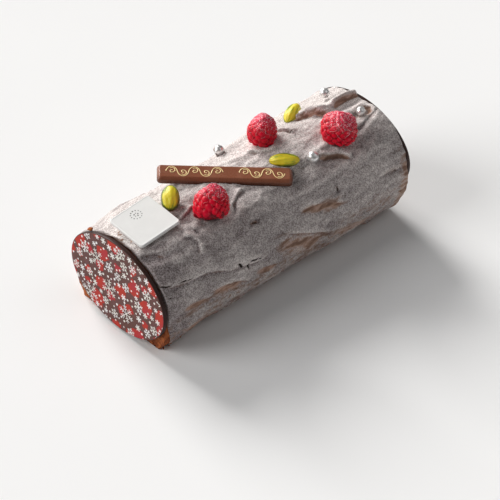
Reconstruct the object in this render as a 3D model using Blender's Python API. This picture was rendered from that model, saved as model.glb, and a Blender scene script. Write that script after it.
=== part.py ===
"""Yule log cake: a sponge log coated in knife-spread cream, with a thin chocolate plate on each end
and a plaque, a chocolate finger, berries, pistachios and silver sugar balls on top.

Metres, +Z up. The log lies along X with its decorated end at -X and its flat underside at Z = 0.
The origin is the middle of the underside. A place on the cream is given by x and by run, the
distance round the coat from the crown of the log, positive towards -Y.
"""
import math
from dataclasses import dataclass

import bmesh
import bpy
from mathutils import Matrix, Vector, noise

# Overall sizes of the log
TOTAL_LENGTH = 0.1788
GAP = 0.0003                   # clearance between pieces that touch

# End plates, and how far each stands above the surface the log lies on
PLATE_WIDTH = 0.0754
PLATE_HEIGHT = 0.0530
PLATE_THICKNESS = 0.0024
PLATE_CHAMFER = 0.0004
PLATE_FACETS = 40
FRONT_PLATE_LEAN = math.radians(4.0)
FRONT_PLATE_SHIFT = -0.0003
FRONT_PLATE_LIFT = 0.0004
BACK_PLATE_SHIFT = 0.0
BACK_PLATE_LIFT = 0.0077

# Sponge: its front face leans like the plate on it, with one worn corner at its foot
SPONGE_BACK = 0.0867
SPONGE_INSET = 0.0036          # cream thickness round the sponge
FOOT_INSET = 0.0013            # cream thickness where it meets the surface below
FOOT_BULGE = 0.0027            # how much fuller the sponge is low down at the decorated end
CORNER_WEAR = 0.0030

# Section of the log: an arch on a flat foot, taller and wider towards the back
FRONT_HALF_WIDTH = 0.0383
BACK_HALF_WIDTH = 0.0396
FRONT_WAIST_HEIGHT = 0.0258    # height of the widest place
BACK_WAIST_HEIGHT = 0.0297
FRONT_CROWN_HEIGHT = 0.0564
BACK_CROWN_HEIGHT = 0.0635
END_DROOP = 0.0020             # how far the crown sinks at the decorated end
FOOT_HALF_WIDTH = 0.0253
FOOT_FLARE = 0.0052            # extra foot width at the decorated end
SWELL_START = 0.0053            # the log grows between these two places
SWELL_END = 0.0663
FLARE_START = -0.0837
FLARE_RUN = 0.030
SQUARENESS = 2.1               # exponent of the arch, 2 would be an ellipse

# How finely the coat is faceted
COAT_RINGS = 44
COAT_FACETS = 32
CORE_RINGS = 10
CORE_FACETS = 24

# Ends of the coat: the cream stops short of the plates, its edge wanders and draws back at the foot
COAT_BACK = 0.0866
FOOT_SETBACK = 0.0078
EDGE_WANDER = 0.0006

# White plaque
PLAQUE_SIDE = 0.0262
PLAQUE_THICKNESS = 0.0020
PLAQUE_CORNER = 0.0026
PLAQUE_CHAMFER = 0.0004

# Chocolate finger
FINGER_LENGTH = 0.0715
FINGER_WIDTH = 0.0112
FINGER_HEIGHT = 0.0042
FINGER_CORNER = 0.0014
FINGER_CHAMFER = 0.0011
FINGER_SIDE = 0.0028           # height of the upright side below the chamfer

# Berries
DRUPELET_ROWS = 7
DRUPELETS_PER_ROW = 13
DRUPELET_RISE = 0.0009
CAVITY_DEPTH = 0.0090
BERRY_BASE = -0.80             # height of the open end, as a share of the half height

# Beds pressed into the cream for berries, nuts and balls
SOCKET_ROWS = 8
SOCKET_COLUMNS = 12


@dataclass(frozen=True)
class Finish:
    """Colour, roughness and metallic value of one material."""

    colour: tuple
    roughness: float
    metallic: float = 0.0


FINISHES = {
    "cream": Finish((0.30, 0.25, 0.24), 0.85),
    "sponge": Finish((0.42, 0.17, 0.06), 0.90),
    "dark_chocolate": Finish((0.10, 0.03, 0.02), 0.45),
    "milk_chocolate": Finish((0.14, 0.05, 0.03), 0.35),
    "white_chocolate": Finish((0.86, 0.84, 0.80), 0.40),
    "berry": Finish((0.62, 0.02, 0.05), 0.35),
    "pistachio": Finish((0.58, 0.55, 0.04), 0.55),
    "silver": Finish((0.85, 0.85, 0.86), 0.15, 1.0),
}


@dataclass(frozen=True)
class Section:
    """The log's cross-section at one place along it."""

    half_width: float
    waist: float
    crown: float
    foot: float


@dataclass(frozen=True)
class Mark:
    """A mark of the palette knife: a rise or a hollow with a smooth outline.

    heading turns its long axis from +X towards a growing run. shelf drops the side away from the
    crown more steeply than the other, as a lap of cream does.
    """

    x: float
    run: float
    length: float
    width: float
    rise: float
    heading: float = 0.0
    shelf: float = 0.0


# Knife marks on the side that shows most, then on the far side
MARKS = (
    Mark(0.0733, -0.0048, 0.034, 0.0060, 0.0017, 3, 1.6),
    Mark(0.0743, 0.0008, 0.026, 0.0056, -0.0022, 3),
    Mark(0.0523, -0.0140, 0.028, 0.0075, 0.0018, 38, 1.0),
    Mark(0.0543, -0.0070, 0.022, 0.0050, -0.0016, 40),
    Mark(0.0773, 0.0110, 0.013, 0.0110, -0.0026, 20),
    Mark(0.0773, 0.0185, 0.024, 0.0050, 0.0014, -20),
    Mark(0.0463, 0.0245, 0.024, 0.0105, -0.0018, 12),
    Mark(0.0443, 0.0170, 0.026, 0.0050, 0.0010, 8, 1.0),
    Mark(-0.0657, 0.0370, 0.034, 0.0090, 0.0009, 8, 1.0),
    Mark(-0.0377, 0.0420, 0.036, 0.0090, 0.0009, 12, 1.0),
    Mark(-0.0417, 0.0570, 0.030, 0.0070, -0.0010, 6),
    Mark(-0.0627, 0.0560, 0.022, 0.0060, -0.0008, 0),
    Mark(0.0083, 0.0510, 0.026, 0.0130, -0.0011, 6),
    Mark(0.0263, 0.0420, 0.034, 0.0070, -0.0010, 10),
    Mark(0.0753, 0.0490, 0.018, 0.0050, -0.0012, 6),
    Mark(-0.0197, 0.0155, 0.018, 0.0070, -0.0014, 118),
    Mark(-0.0137, 0.0225, 0.022, 0.0120, 0.0013, 30),
    Mark(-0.0597, 0.0200, 0.034, 0.0110, 0.0011, 14),
    Mark(-0.0527, 0.0310, 0.020, 0.0090, 0.0009, 70),
    Mark(0.0663, 0.0330, 0.040, 0.0080, 0.0008, -6),
    Mark(0.0703, -0.0290, 0.062, 0.0400, -0.0020, 4),
    Mark(0.0827, 0.0240, 0.024, 0.0300, 0.0012),
    Mark(-0.0817, -0.0270, 0.018, 0.0300, -0.0024, 6),
    Mark(0.0043, -0.0120, 0.040, 0.0080, 0.0009, 12, 1.0),
    Mark(-0.0617, -0.0250, 0.044, 0.0100, 0.0012, -6),
    Mark(-0.0297, -0.0400, 0.050, 0.0090, -0.0011, 5),
    Mark(0.0223, -0.0330, 0.042, 0.0110, 0.0013, -8),
    Mark(0.0523, -0.0450, 0.036, 0.0080, -0.0012, 7),
    Mark(-0.0577, -0.0530, 0.030, 0.0090, -0.0010, -4),
    Mark(0.0163, -0.0560, 0.040, 0.0080, -0.0009, 4),
)


@dataclass(frozen=True)
class Topping:
    """A berry, nut or ball: where its middle is, its sizes and which way its long axis points."""

    name: str
    middle: tuple
    size: tuple
    axis: tuple


BERRIES = (
    Topping("berry_front", (-0.0333, -0.0132, 0.0640), (0.0096, 0.0096, 0.0098), (0.40, 0.44, 0.80)),
    Topping("berry_middle", (0.0248, 0.0118, 0.0653), (0.0083, 0.0083, 0.0096), (0.02, 0.04, 1.0)),
    Topping("berry_back", (0.0548, -0.0172, 0.0680), (0.0100, 0.0098, 0.0100), (0.22, -0.10, 0.97)),
)
NUTS = (
    Topping("pistachio_front", (-0.0463, 0.0046, 0.0600), (0.0050, 0.0041, 0.0080), (0.60, 0.66, 0.42)),
    Topping("pistachio_middle", (0.0210, -0.0098, 0.0584), (0.0042, 0.0033, 0.0082), (0.76, -0.64, 0.02)),
    Topping("pistachio_back", (0.0500, 0.0160, 0.0606), (0.0040, 0.0034, 0.0076), (0.90, 0.38, 0.14)),
)
BALLS = (
    Topping("silver_ball_near", (0.0345, -0.0172, 0.0578), (0.0033,) * 3, (0, 0, 1)),
    Topping("silver_ball_far", (0.0059, 0.0262, 0.0517), (0.0029,) * 3, (0, 0, 1)),
    Topping("silver_ball_ridge", (0.0722, 0.0139, 0.0642), (0.0029,) * 3, (0, 0, 1)),
    Topping("silver_ball_hollow", (0.0767, -0.0100, 0.0632), (0.0026,) * 3, (0, 0, 1)),
)

# Where the plaque's and the finger's tops lie
PLAQUE_MIDDLE = Vector((-0.0663, 0.0014, 0.0584))
PLAQUE_PITCH = math.radians(-6.2)
PLAQUE_ROLL = math.radians(2.5)
FINGER_MIDDLE = Vector((-0.0104, 0.0026, 0.0594))
FINGER_HEADING = math.radians(-39.9)
FINGER_PITCH = math.radians(3.0)
FINGER_ROLL = math.radians(6.0)


def smooth_step(value):
    """Ease from 0 to 1 as value goes from 0 to 1."""
    value = min(max(value, 0.0), 1.0)
    return value * value * (3.0 - 2.0 * value)


def flare_at(x):
    """How much the log spreads at x as it nears the decorated end, from 0 to 1."""
    return 1.0 - smooth_step((x - FLARE_START) / FLARE_RUN)


def section_at(x, inset=0.0, foot_inset=0.0):
    """The log's section at x, drawn in by inset all round and by foot_inset at its foot."""
    swell = smooth_step((x - SWELL_START) / (SWELL_END - SWELL_START))
    flare = flare_at(x)
    half_width = FRONT_HALF_WIDTH + (BACK_HALF_WIDTH - FRONT_HALF_WIDTH) * swell
    waist = FRONT_WAIST_HEIGHT + (BACK_WAIST_HEIGHT - FRONT_WAIST_HEIGHT) * swell
    crown = FRONT_CROWN_HEIGHT + (BACK_CROWN_HEIGHT - FRONT_CROWN_HEIGHT) * swell - END_DROOP * flare
    foot = FOOT_HALF_WIDTH + FOOT_FLARE * flare
    return Section(half_width - inset, waist, crown - inset, foot - foot_inset)


def foot_turn(section):
    """Angle from the crown, about the waist's middle, at which the section meets its foot."""
    return math.atan2(section.foot, -section.waist)


def radius_at(section, turn):
    """Distance from the waist's middle to the section's outline at an angle from the crown."""
    lower = section.waist / (1.0 - (section.foot / section.half_width) ** SQUARENESS) ** (1.0 / SQUARENESS)
    across = abs(math.sin(turn)) / section.half_width
    rise = section.crown - section.waist if math.cos(turn) >= 0.0 else lower
    along = abs(math.cos(turn)) / rise
    return (across ** SQUARENESS + along ** SQUARENESS) ** (-1.0 / SQUARENESS)


def run_of(section, turn):
    """Distance round the coat from the crown to an angle, on a circle of the section's mean size."""
    return turn * (section.half_width + section.crown - section.waist) / 2.0


def mark_height(mark, x, run):
    """How far one knife mark lifts the cream at a place."""
    heading = math.radians(mark.heading)
    along = (x - mark.x) * math.cos(heading) + (run - mark.run) * math.sin(heading)
    across = (run - mark.run) * math.cos(heading) - (x - mark.x) * math.sin(heading)
    width = mark.width / 2.0
    if mark.shelf and across > 0.0:
        width /= 1.0 + mark.shelf
    return mark.rise * math.exp(-((2.0 * along / mark.length) ** 4) - (across / width) ** 2)


def relief(x, run):
    """Height of the cream's uneven surface over the smooth section."""
    rolling = noise.noise(Vector((x * 38.0, run * 95.0, 3.7))) * 0.0011
    streaks = noise.noise(Vector((x * 110.0, run * 260.0, 9.1))) * 0.0004
    return rolling + streaks + sum(mark_height(mark, x, run) for mark in MARKS)


def section_point(x, turn, section, reach):
    """The point at an angle from the crown and a distance from the waist's middle."""
    return Vector((x, -reach * math.sin(turn), section.waist + reach * math.cos(turn)))


def behind_plate(height):
    """Where along the log the back of the leaning front plate is, at a height."""
    foot = -TOTAL_LENGTH / 2.0 + PLATE_THICKNESS / math.cos(FRONT_PLATE_LEAN)
    return foot + (height - FRONT_PLATE_LIFT) * math.tan(FRONT_PLATE_LEAN)


def coat_point(along, turn_share):
    """A point of the cream, along from 0 to 1 down the log and turn_share from -1 to 1 round it."""
    share = abs(turn_share)
    first = section_at(FLARE_START)
    first_turn = foot_turn(first) * turn_share
    height = section_point(0.0, first_turn, first, radius_at(first, first_turn)).z
    front = behind_plate(height) + 2.0 * GAP + FOOT_SETBACK * max(0.0, (share - 0.66) / 0.34) ** 2
    front += EDGE_WANDER * (1.0 + noise.noise(Vector((turn_share * 6.0, 0.3, 0.0))))
    back = COAT_BACK + EDGE_WANDER * (noise.noise(Vector((turn_share * 6.0, 8.3, 0.0))) - 0.5)
    x = front + (back - front) * along
    section = section_at(x)
    turn = foot_turn(section) * turn_share
    near_foot = smooth_step(4.0 * (1.0 - share))
    return section_point(x, turn, section, radius_at(section, turn) + relief(x, run_of(section, turn)) * near_foot)


def clear_scene():
    """Remove every object that the new file came with."""
    for item in list(bpy.data.objects):
        bpy.data.objects.remove(item, do_unlink=True)


def material(name):
    """The material of one finish, made the first time it is asked for."""
    made = bpy.data.materials.get(name)
    if made:
        return made
    made = bpy.data.materials.new(name)
    made.use_nodes = True
    shader = made.node_tree.nodes["Principled BSDF"]
    finish = FINISHES[name]
    shader.inputs["Base Color"].default_value = (*finish.colour, 1.0)
    shader.inputs["Roughness"].default_value = finish.roughness
    shader.inputs["Metallic"].default_value = finish.metallic
    return made


def add_object(name, mesh_data, finish=None, place=None, sharp_angle=40.0):
    """Turn a bmesh into an object, shaded smooth between faces that meet at a shallow angle."""
    bmesh.ops.recalc_face_normals(mesh_data, faces=mesh_data.faces)
    mesh = bpy.data.meshes.new(name)
    mesh_data.to_mesh(mesh)
    mesh_data.free()
    mesh.shade_smooth()
    mesh.set_sharp_from_angle(angle=math.radians(sharp_angle))
    made = bpy.data.objects.new(name, mesh)
    bpy.context.scene.collection.objects.link(made)
    if finish:
        mesh.materials.append(material(finish))
    if place:
        made.matrix_world = place
    return made


def loft(rings, first_tip=None, last_tip=None):
    """Join closed rings of points into a closed skin, each end a flat face or a fan to a tip.

    Every facet is split the same way, so that skins made alike stay an even distance apart.
    """
    skin = bmesh.new()
    loops = [[skin.verts.new(point) for point in ring] for ring in rings]
    count = len(loops[0])
    for near, far in zip(loops, loops[1:]):
        for index in range(count):
            after = (index + 1) % count
            skin.faces.new((near[index], near[after], far[after]))
            skin.faces.new((near[index], far[after], far[index]))
    for loop, tip in ((loops[0], first_tip), (loops[-1], last_tip)):
        if tip is None:
            skin.faces.new(loop)
            continue
        point = skin.verts.new(tip)
        for index in range(count):
            skin.faces.new((loop[index], loop[(index + 1) % count], point))
    return skin


def cut(target, cutter):
    """Take a cutter's shape out of a target, and hide the cutter."""
    cutter.hide_render = True
    cutter.display_type = "WIRE"
    boolean = target.modifiers.new(f"cut_{cutter.name}", "BOOLEAN")
    boolean.operation = "DIFFERENCE"
    boolean.object = cutter


def core_reach(x, section, turn_share, spare):
    """The sponge's distance from the waist's middle, fuller low down at the decorated end."""
    share = abs(turn_share)
    low = smooth_step((share - 0.64) / 0.16) * smooth_step((1.0 - share) / 0.14)
    return radius_at(section, foot_turn(section) * turn_share) + spare + FOOT_BULGE * low * flare_at(x)


def face_place(point):
    """Where along the log the sponge's front face stands, at the height and breadth of a point."""
    near_foot = 1.0 - smooth_step(point.z / 0.012)
    return behind_plate(point.z) + GAP + CORNER_WEAR * near_foot * smooth_step((-point.y - 0.024) / 0.006)


def core_ring(along, spare):
    """A closed ring of the sponge, grown by spare for the tunnel that holds it."""
    ring = []
    for step in range(CORE_FACETS + 1):
        turn_share = 2.0 * step / CORE_FACETS - 1.0
        first = section_at(FLARE_START, SPONGE_INSET, FOOT_INSET)
        face = section_point(0.0, foot_turn(first) * turn_share, first, core_reach(FLARE_START, first, turn_share, 0.0))
        x = face_place(face) - spare
        x += (SPONGE_BACK + spare - x) * along
        section = section_at(x, SPONGE_INSET, FOOT_INSET)
        turn = foot_turn(section) * turn_share
        ring.append(section_point(x, turn, section, core_reach(x, section, turn_share, spare)))
    for point in (ring[0], ring[-1]):
        point.z = 0.0
    if spare:
        depth = Vector((0.0, 0.0, -10.0 * GAP))
        ring += [ring[-1] + depth, ring[0] + depth]
    return ring


def core_skin(spare=0.0):
    """The sponge's closed skin."""
    rings = [core_ring(step / (CORE_RINGS - 1), spare) for step in range(CORE_RINGS)]
    middle = Vector((behind_plate(FRONT_WAIST_HEIGHT) + GAP - spare, 0.0, FRONT_WAIST_HEIGHT))
    return loft(rings, first_tip=middle)


def make_sponge():
    """The cake itself, which runs through the log from end to end."""
    return add_object("sponge", core_skin(), "sponge")


def make_cream(cutters):
    """The coat of cream over the sponge, open below, with a socket for each topping."""
    rings = []
    for step in range(COAT_RINGS + 1):
        along = step / COAT_RINGS
        rings.append([coat_point(along, 2.0 * facet / COAT_FACETS - 1.0) for facet in range(COAT_FACETS + 1)])
    tips = [Vector((sum(point.x for point in ring) / len(ring), 0.0, FRONT_WAIST_HEIGHT))
            for ring in (rings[0], rings[-1])]
    cream = add_object("cream", loft(rings, *tips), "cream", sharp_angle=60.0)
    tunnel = add_object("cutter_tunnel", core_skin(1.2 * GAP))
    cut(cream, tunnel)
    for cutter in cutters:
        cut(cream, cutter)
    return cream


def make_plate(name, place):
    """A thin oval plate of chocolate with slightly softened rims, standing on its local X axis."""
    layers = ((0.0, PLATE_CHAMFER), (PLATE_CHAMFER, 0.0),
              (PLATE_THICKNESS - PLATE_CHAMFER, 0.0), (PLATE_THICKNESS, PLATE_CHAMFER))
    rings = []
    for x, inset in layers:
        rings.append([Vector((x,
                              (PLATE_WIDTH / 2.0 - inset) * math.cos(2.0 * math.pi * step / PLATE_FACETS),
                              (PLATE_HEIGHT / 2.0 - inset) * math.sin(2.0 * math.pi * step / PLATE_FACETS)))
                      for step in range(PLATE_FACETS)])
    return add_object(name, loft(rings), "dark_chocolate", place)


def make_plates():
    """The front plate leans back on the sponge from its foot; the back plate is pressed on upright."""
    half = PLATE_HEIGHT / 2.0
    front = Vector((-TOTAL_LENGTH / 2.0 + half * math.sin(FRONT_PLATE_LEAN), FRONT_PLATE_SHIFT,
                    FRONT_PLATE_LIFT + half * math.cos(FRONT_PLATE_LEAN)))
    back = Vector((TOTAL_LENGTH / 2.0 - PLATE_THICKNESS, BACK_PLATE_SHIFT, BACK_PLATE_LIFT + half))
    make_plate("plate_front", Matrix.Translation(front) @ Matrix.Rotation(FRONT_PLATE_LEAN, 4, "Y"))
    make_plate("plate_back", Matrix.Translation(back))


def rounded_outline(length, width, corner, facets, height):
    """A rectangle in the XY plane with rounded corners, anticlockwise, at a height."""
    outline = []
    for quarter, (side_x, side_y) in enumerate(((1, 1), (-1, 1), (-1, -1), (1, -1))):
        middle = Vector((side_x * (length / 2.0 - corner), side_y * (width / 2.0 - corner), height))
        for step in range(facets + 1):
            turn = math.pi / 2.0 * (quarter + step / facets)
            outline.append(middle + Vector((corner * math.cos(turn), corner * math.sin(turn), 0.0)))
    return outline


def slab(length, width, corner, facets, layers):
    """A flat slab from layers of (height, inset), with the same corner centres all the way up."""
    return loft([rounded_outline(length - 2.0 * inset, width - 2.0 * inset, max(corner - inset, GAP), facets, height)
                 for height, inset in layers])


def plaque_place():
    """Place and tilt of the plaque, whose local origin is the middle of its top."""
    turn = Matrix.Rotation(PLAQUE_PITCH, 4, "Y") @ Matrix.Rotation(PLAQUE_ROLL, 4, "X")
    return Matrix.Translation(PLAQUE_MIDDLE) @ turn


def make_plaque():
    """The square white plaque that lies on the crown near the decorated end."""
    layers = ((-PLAQUE_THICKNESS, PLAQUE_CHAMFER), (-PLAQUE_THICKNESS + PLAQUE_CHAMFER, 0.0),
              (-PLAQUE_CHAMFER, 0.0), (0.0, PLAQUE_CHAMFER))
    skin = slab(PLAQUE_SIDE, PLAQUE_SIDE, PLAQUE_CORNER, 4, layers)
    return add_object("plaque", skin, "white_chocolate", plaque_place())


def finger_place():
    """Place and tilt of the chocolate finger, whose local origin is the middle of its top."""
    turn = (Matrix.Rotation(FINGER_HEADING, 4, "Z") @ Matrix.Rotation(FINGER_PITCH, 4, "Y")
            @ Matrix.Rotation(FINGER_ROLL, 4, "X"))
    return Matrix.Translation(FINGER_MIDDLE) @ turn


def make_finger():
    """The moulded finger of chocolate laid across the crown."""
    base = -FINGER_HEIGHT
    layers = ((base, 0.0), (base + FINGER_SIDE, 0.0), (0.0, FINGER_CHAMFER))
    skin = slab(FINGER_LENGTH, FINGER_WIDTH, FINGER_CORNER, 3, layers)
    return add_object("chocolate_finger", skin, "milk_chocolate", finger_place())


def slab_socket(name, length, width, thickness, place):
    """A box a gap larger than a slab all round and open above it, to cut its bed in the cream."""
    box = bmesh.new()
    bmesh.ops.create_cube(box, size=1.0)
    height = 3.0 * thickness
    grow = Matrix.Diagonal((length + 2.0 * GAP, width + 2.0 * GAP, height, 1.0))
    lift = Matrix.Translation((0.0, 0.0, height / 2.0 - thickness - GAP))
    bmesh.ops.transform(box, matrix=lift @ grow, verts=box.verts)
    return add_object(name, box, place=place)


def topping_place(topping):
    """Matrix that puts a topping's middle in place and turns its local Z to its long axis."""
    turn = Vector(topping.axis).normalized().to_track_quat("Z", "Y").to_matrix().to_4x4()
    return Matrix.Translation(topping.middle) @ turn


def oval_ring(size, reach, height, columns):
    """A level ring of points on an oval of the given half sizes scaled by reach."""
    turns = [2.0 * math.pi * column / columns for column in range(columns)]
    return [Vector((size[0] * reach * math.cos(turn), size[1] * reach * math.sin(turn), height)) for turn in turns]


def oval_skin(size, rows, columns):
    """An ellipsoid of the given half sizes in rows and columns of facets."""
    polars = [math.pi * row / rows for row in range(1, rows)]
    rings = [oval_ring(size, math.sin(polar), -size[2] * math.cos(polar), columns) for polar in polars]
    return loft(rings, Vector((0.0, 0.0, -size[2])), Vector((0.0, 0.0, size[2])))


def oval_socket(topping, rise=0.0):
    """A coarse ellipsoid that clears a topping by a gap, to press its bed into the cream."""
    slack = math.cos(math.pi / SOCKET_COLUMNS) * math.cos(math.pi / (2.0 * SOCKET_ROWS))
    size = [(half + rise + GAP) / slack for half in topping.size]
    skin = oval_skin(size, SOCKET_ROWS, SOCKET_COLUMNS)
    return add_object(f"cutter_{topping.name}", skin, place=topping_place(topping))


def berry_reach(share):
    """A berry's half width at a height share from 0 at its open end to 1 at its tip."""
    return math.sin(math.pi * (0.22 + 0.78 * share)) ** 0.62


def berry_height(topping, share):
    """Height of a place on a berry above its middle, for the same height share."""
    tall = topping.size[2]
    return tall * (BERRY_BASE + (1.0 - BERRY_BASE) * share)


def berry_socket(topping):
    """A coarse form that clears a berry by a gap, to press its bed into the cream."""
    slack = math.cos(math.pi / SOCKET_COLUMNS)
    size = [(half + 2.0 * GAP) / slack for half in topping.size]
    rings = []
    for row in range(SOCKET_ROWS):
        share = row / SOCKET_ROWS
        rings.append(oval_ring(size, berry_reach(share), berry_height(topping, share) - GAP, SOCKET_COLUMNS))
    skin = loft(rings, last_tip=Vector((0.0, 0.0, size[2])))
    return add_object(f"cutter_{topping.name}", skin, place=topping_place(topping))


def make_berry(topping):
    """A hollow picked berry: staggered rows of drupelets over an oval, open at its lower end."""
    ring_count = 2 * DRUPELET_ROWS
    column_count = 2 * DRUPELETS_PER_ROW
    valley = 1.0 - DRUPELET_RISE / topping.size[0]
    rings = []
    for level in range(ring_count + 1):
        share = level / (ring_count + 0.6)
        ring = oval_ring(topping.size, berry_reach(share), 0.0, column_count)
        for column, point in enumerate(ring):
            peak = level % 2 == 1 and column % 2 == level // 2 % 2
            ring[column] = point * (1.0 if peak else valley)
            ring[column].z = berry_height(topping, share)
        rings.append(ring)
    hollow = [oval_ring(topping.size, reach, berry_height(topping, 0.0) + depth, column_count)
              for reach, depth in ((0.16, CAVITY_DEPTH), (0.36, 0.6 * CAVITY_DEPTH), (0.46, 0.0))]
    tip = Vector((0.0, 0.0, topping.size[2] - DRUPELET_RISE / 2.0))
    skin = loft(hollow + rings, last_tip=tip)
    return add_object(topping.name, skin, "berry", topping_place(topping), sharp_angle=180.0)


def make_nut(topping):
    """A shelled pistachio: an oval kernel with a pointed end and the crease of its two halves."""
    rows, columns = 9, 12
    wide, deep, tall = topping.size
    rings = []
    for row in range(1, rows):
        polar = math.pi * row / rows
        taper = 1.0 + 0.18 * math.cos(polar)
        ring = []
        for column in range(columns):
            turn = 2.0 * math.pi * column / columns
            crease = 0.12 if column % (columns // 2) == 0 else 0.0
            reach = math.sin(polar) ** 0.9 * taper * (1.0 - crease) / 1.04
            ring.append(Vector((wide * reach * math.cos(turn), deep * reach * math.sin(turn),
                                -tall * math.cos(polar))))
        rings.append(ring)
    skin = loft(rings, Vector((0.0, 0.0, -tall)), Vector((0.0, 0.0, tall)))
    return add_object(topping.name, skin, "pistachio", topping_place(topping), sharp_angle=50.0)


def make_ball(topping):
    """A silvered sugar ball."""
    return add_object(topping.name, oval_skin(topping.size, 7, 10), "silver", topping_place(topping), 180.0)


def main():
    """Build the whole cake."""
    clear_scene()
    make_sponge()
    make_plates()
    make_plaque()
    make_finger()
    cutters = [
        slab_socket("cutter_plaque", PLAQUE_SIDE, PLAQUE_SIDE, PLAQUE_THICKNESS, plaque_place()),
        slab_socket("cutter_finger", FINGER_LENGTH, FINGER_WIDTH, FINGER_HEIGHT, finger_place()),
    ]
    for berry in BERRIES:
        make_berry(berry)
        cutters.append(berry_socket(berry))
    for nut in NUTS:
        make_nut(nut)
        cutters.append(oval_socket(nut, 0.0004))
    for ball in BALLS:
        make_ball(ball)
        cutters.append(oval_socket(ball))
    make_cream(cutters)


main()
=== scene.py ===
"""Looks of a yule log cake: cream, sponge, chocolate plates, plaque, finger, berries, pistachios and silver balls.

Metres, +Z up. The log lies along X with its decorated end at -X and its flat underside at Z = 0. A place on the cream
is given by x and by run, the distance round the coat from the crown of the log, positive towards -Y. Tables of knife
marks are in millimetres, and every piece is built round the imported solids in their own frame.
"""
import logging
import math
from dataclasses import dataclass, field
from enum import Enum
from typing import Optional, Sequence

import bmesh
import bpy
import numpy as np
from mathutils import Matrix, Vector, noise


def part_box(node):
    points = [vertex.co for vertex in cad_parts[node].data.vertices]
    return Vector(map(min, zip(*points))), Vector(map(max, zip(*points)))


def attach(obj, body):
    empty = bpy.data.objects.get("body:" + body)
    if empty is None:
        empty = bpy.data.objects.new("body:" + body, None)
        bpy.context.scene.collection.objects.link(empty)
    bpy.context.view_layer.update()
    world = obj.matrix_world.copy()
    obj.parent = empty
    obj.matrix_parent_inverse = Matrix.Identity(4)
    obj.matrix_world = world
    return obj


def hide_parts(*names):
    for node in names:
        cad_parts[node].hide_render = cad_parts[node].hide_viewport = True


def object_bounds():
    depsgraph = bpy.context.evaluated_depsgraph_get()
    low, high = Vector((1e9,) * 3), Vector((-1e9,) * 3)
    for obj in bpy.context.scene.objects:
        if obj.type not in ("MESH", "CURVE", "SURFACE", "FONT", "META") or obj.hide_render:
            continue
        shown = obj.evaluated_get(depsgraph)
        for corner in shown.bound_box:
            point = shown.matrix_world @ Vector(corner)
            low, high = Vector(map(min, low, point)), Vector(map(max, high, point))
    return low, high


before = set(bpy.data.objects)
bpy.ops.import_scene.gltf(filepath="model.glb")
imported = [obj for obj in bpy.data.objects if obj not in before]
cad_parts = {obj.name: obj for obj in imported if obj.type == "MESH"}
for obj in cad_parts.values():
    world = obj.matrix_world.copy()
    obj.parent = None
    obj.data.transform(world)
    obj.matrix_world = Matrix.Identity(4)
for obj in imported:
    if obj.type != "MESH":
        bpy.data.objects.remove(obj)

LOG = logging.getLogger("yule_log")
MM = 0.001
GAP = 0.0003                   # clearance between pieces that touch
CAD_LOW, CAD_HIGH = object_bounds()
LENGTH = CAD_HIGH.x - CAD_LOW.x


class Slot(Enum):
    """The record's material slots."""

    CREAM = "cream"
    SPONGE = "sponge"
    DARK = "dark_chocolate"
    MILK = "milk_chocolate"
    WHITE = "white_chocolate"
    BERRY = "berry"
    NUT = "pistachio"
    SILVER = "silver"


def ease(value):
    """Ease from 0 to 1 as value goes from 0 to 1.

    Args:
        value: A number or an array.

    Returns:
        The eased number or array.
    """
    value = np.clip(value, 0.0, 1.0)
    return value * value * (3.0 - 2.0 * value)


def rough(x: np.ndarray, y: np.ndarray, z: np.ndarray) -> np.ndarray:
    """Smooth noise at many points.

    Args:
        x: First coordinates, already scaled.
        y: Second coordinates.
        z: Third coordinates.

    Returns:
        Noise from about -1 to 1, in the shape of x.
    """
    x, y, z = np.broadcast_arrays(x, y, z)
    found = [noise.noise(point) for point in zip(x.ravel().tolist(), y.ravel().tolist(), z.ravel().tolist())]
    return np.array(found).reshape(x.shape)


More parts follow.
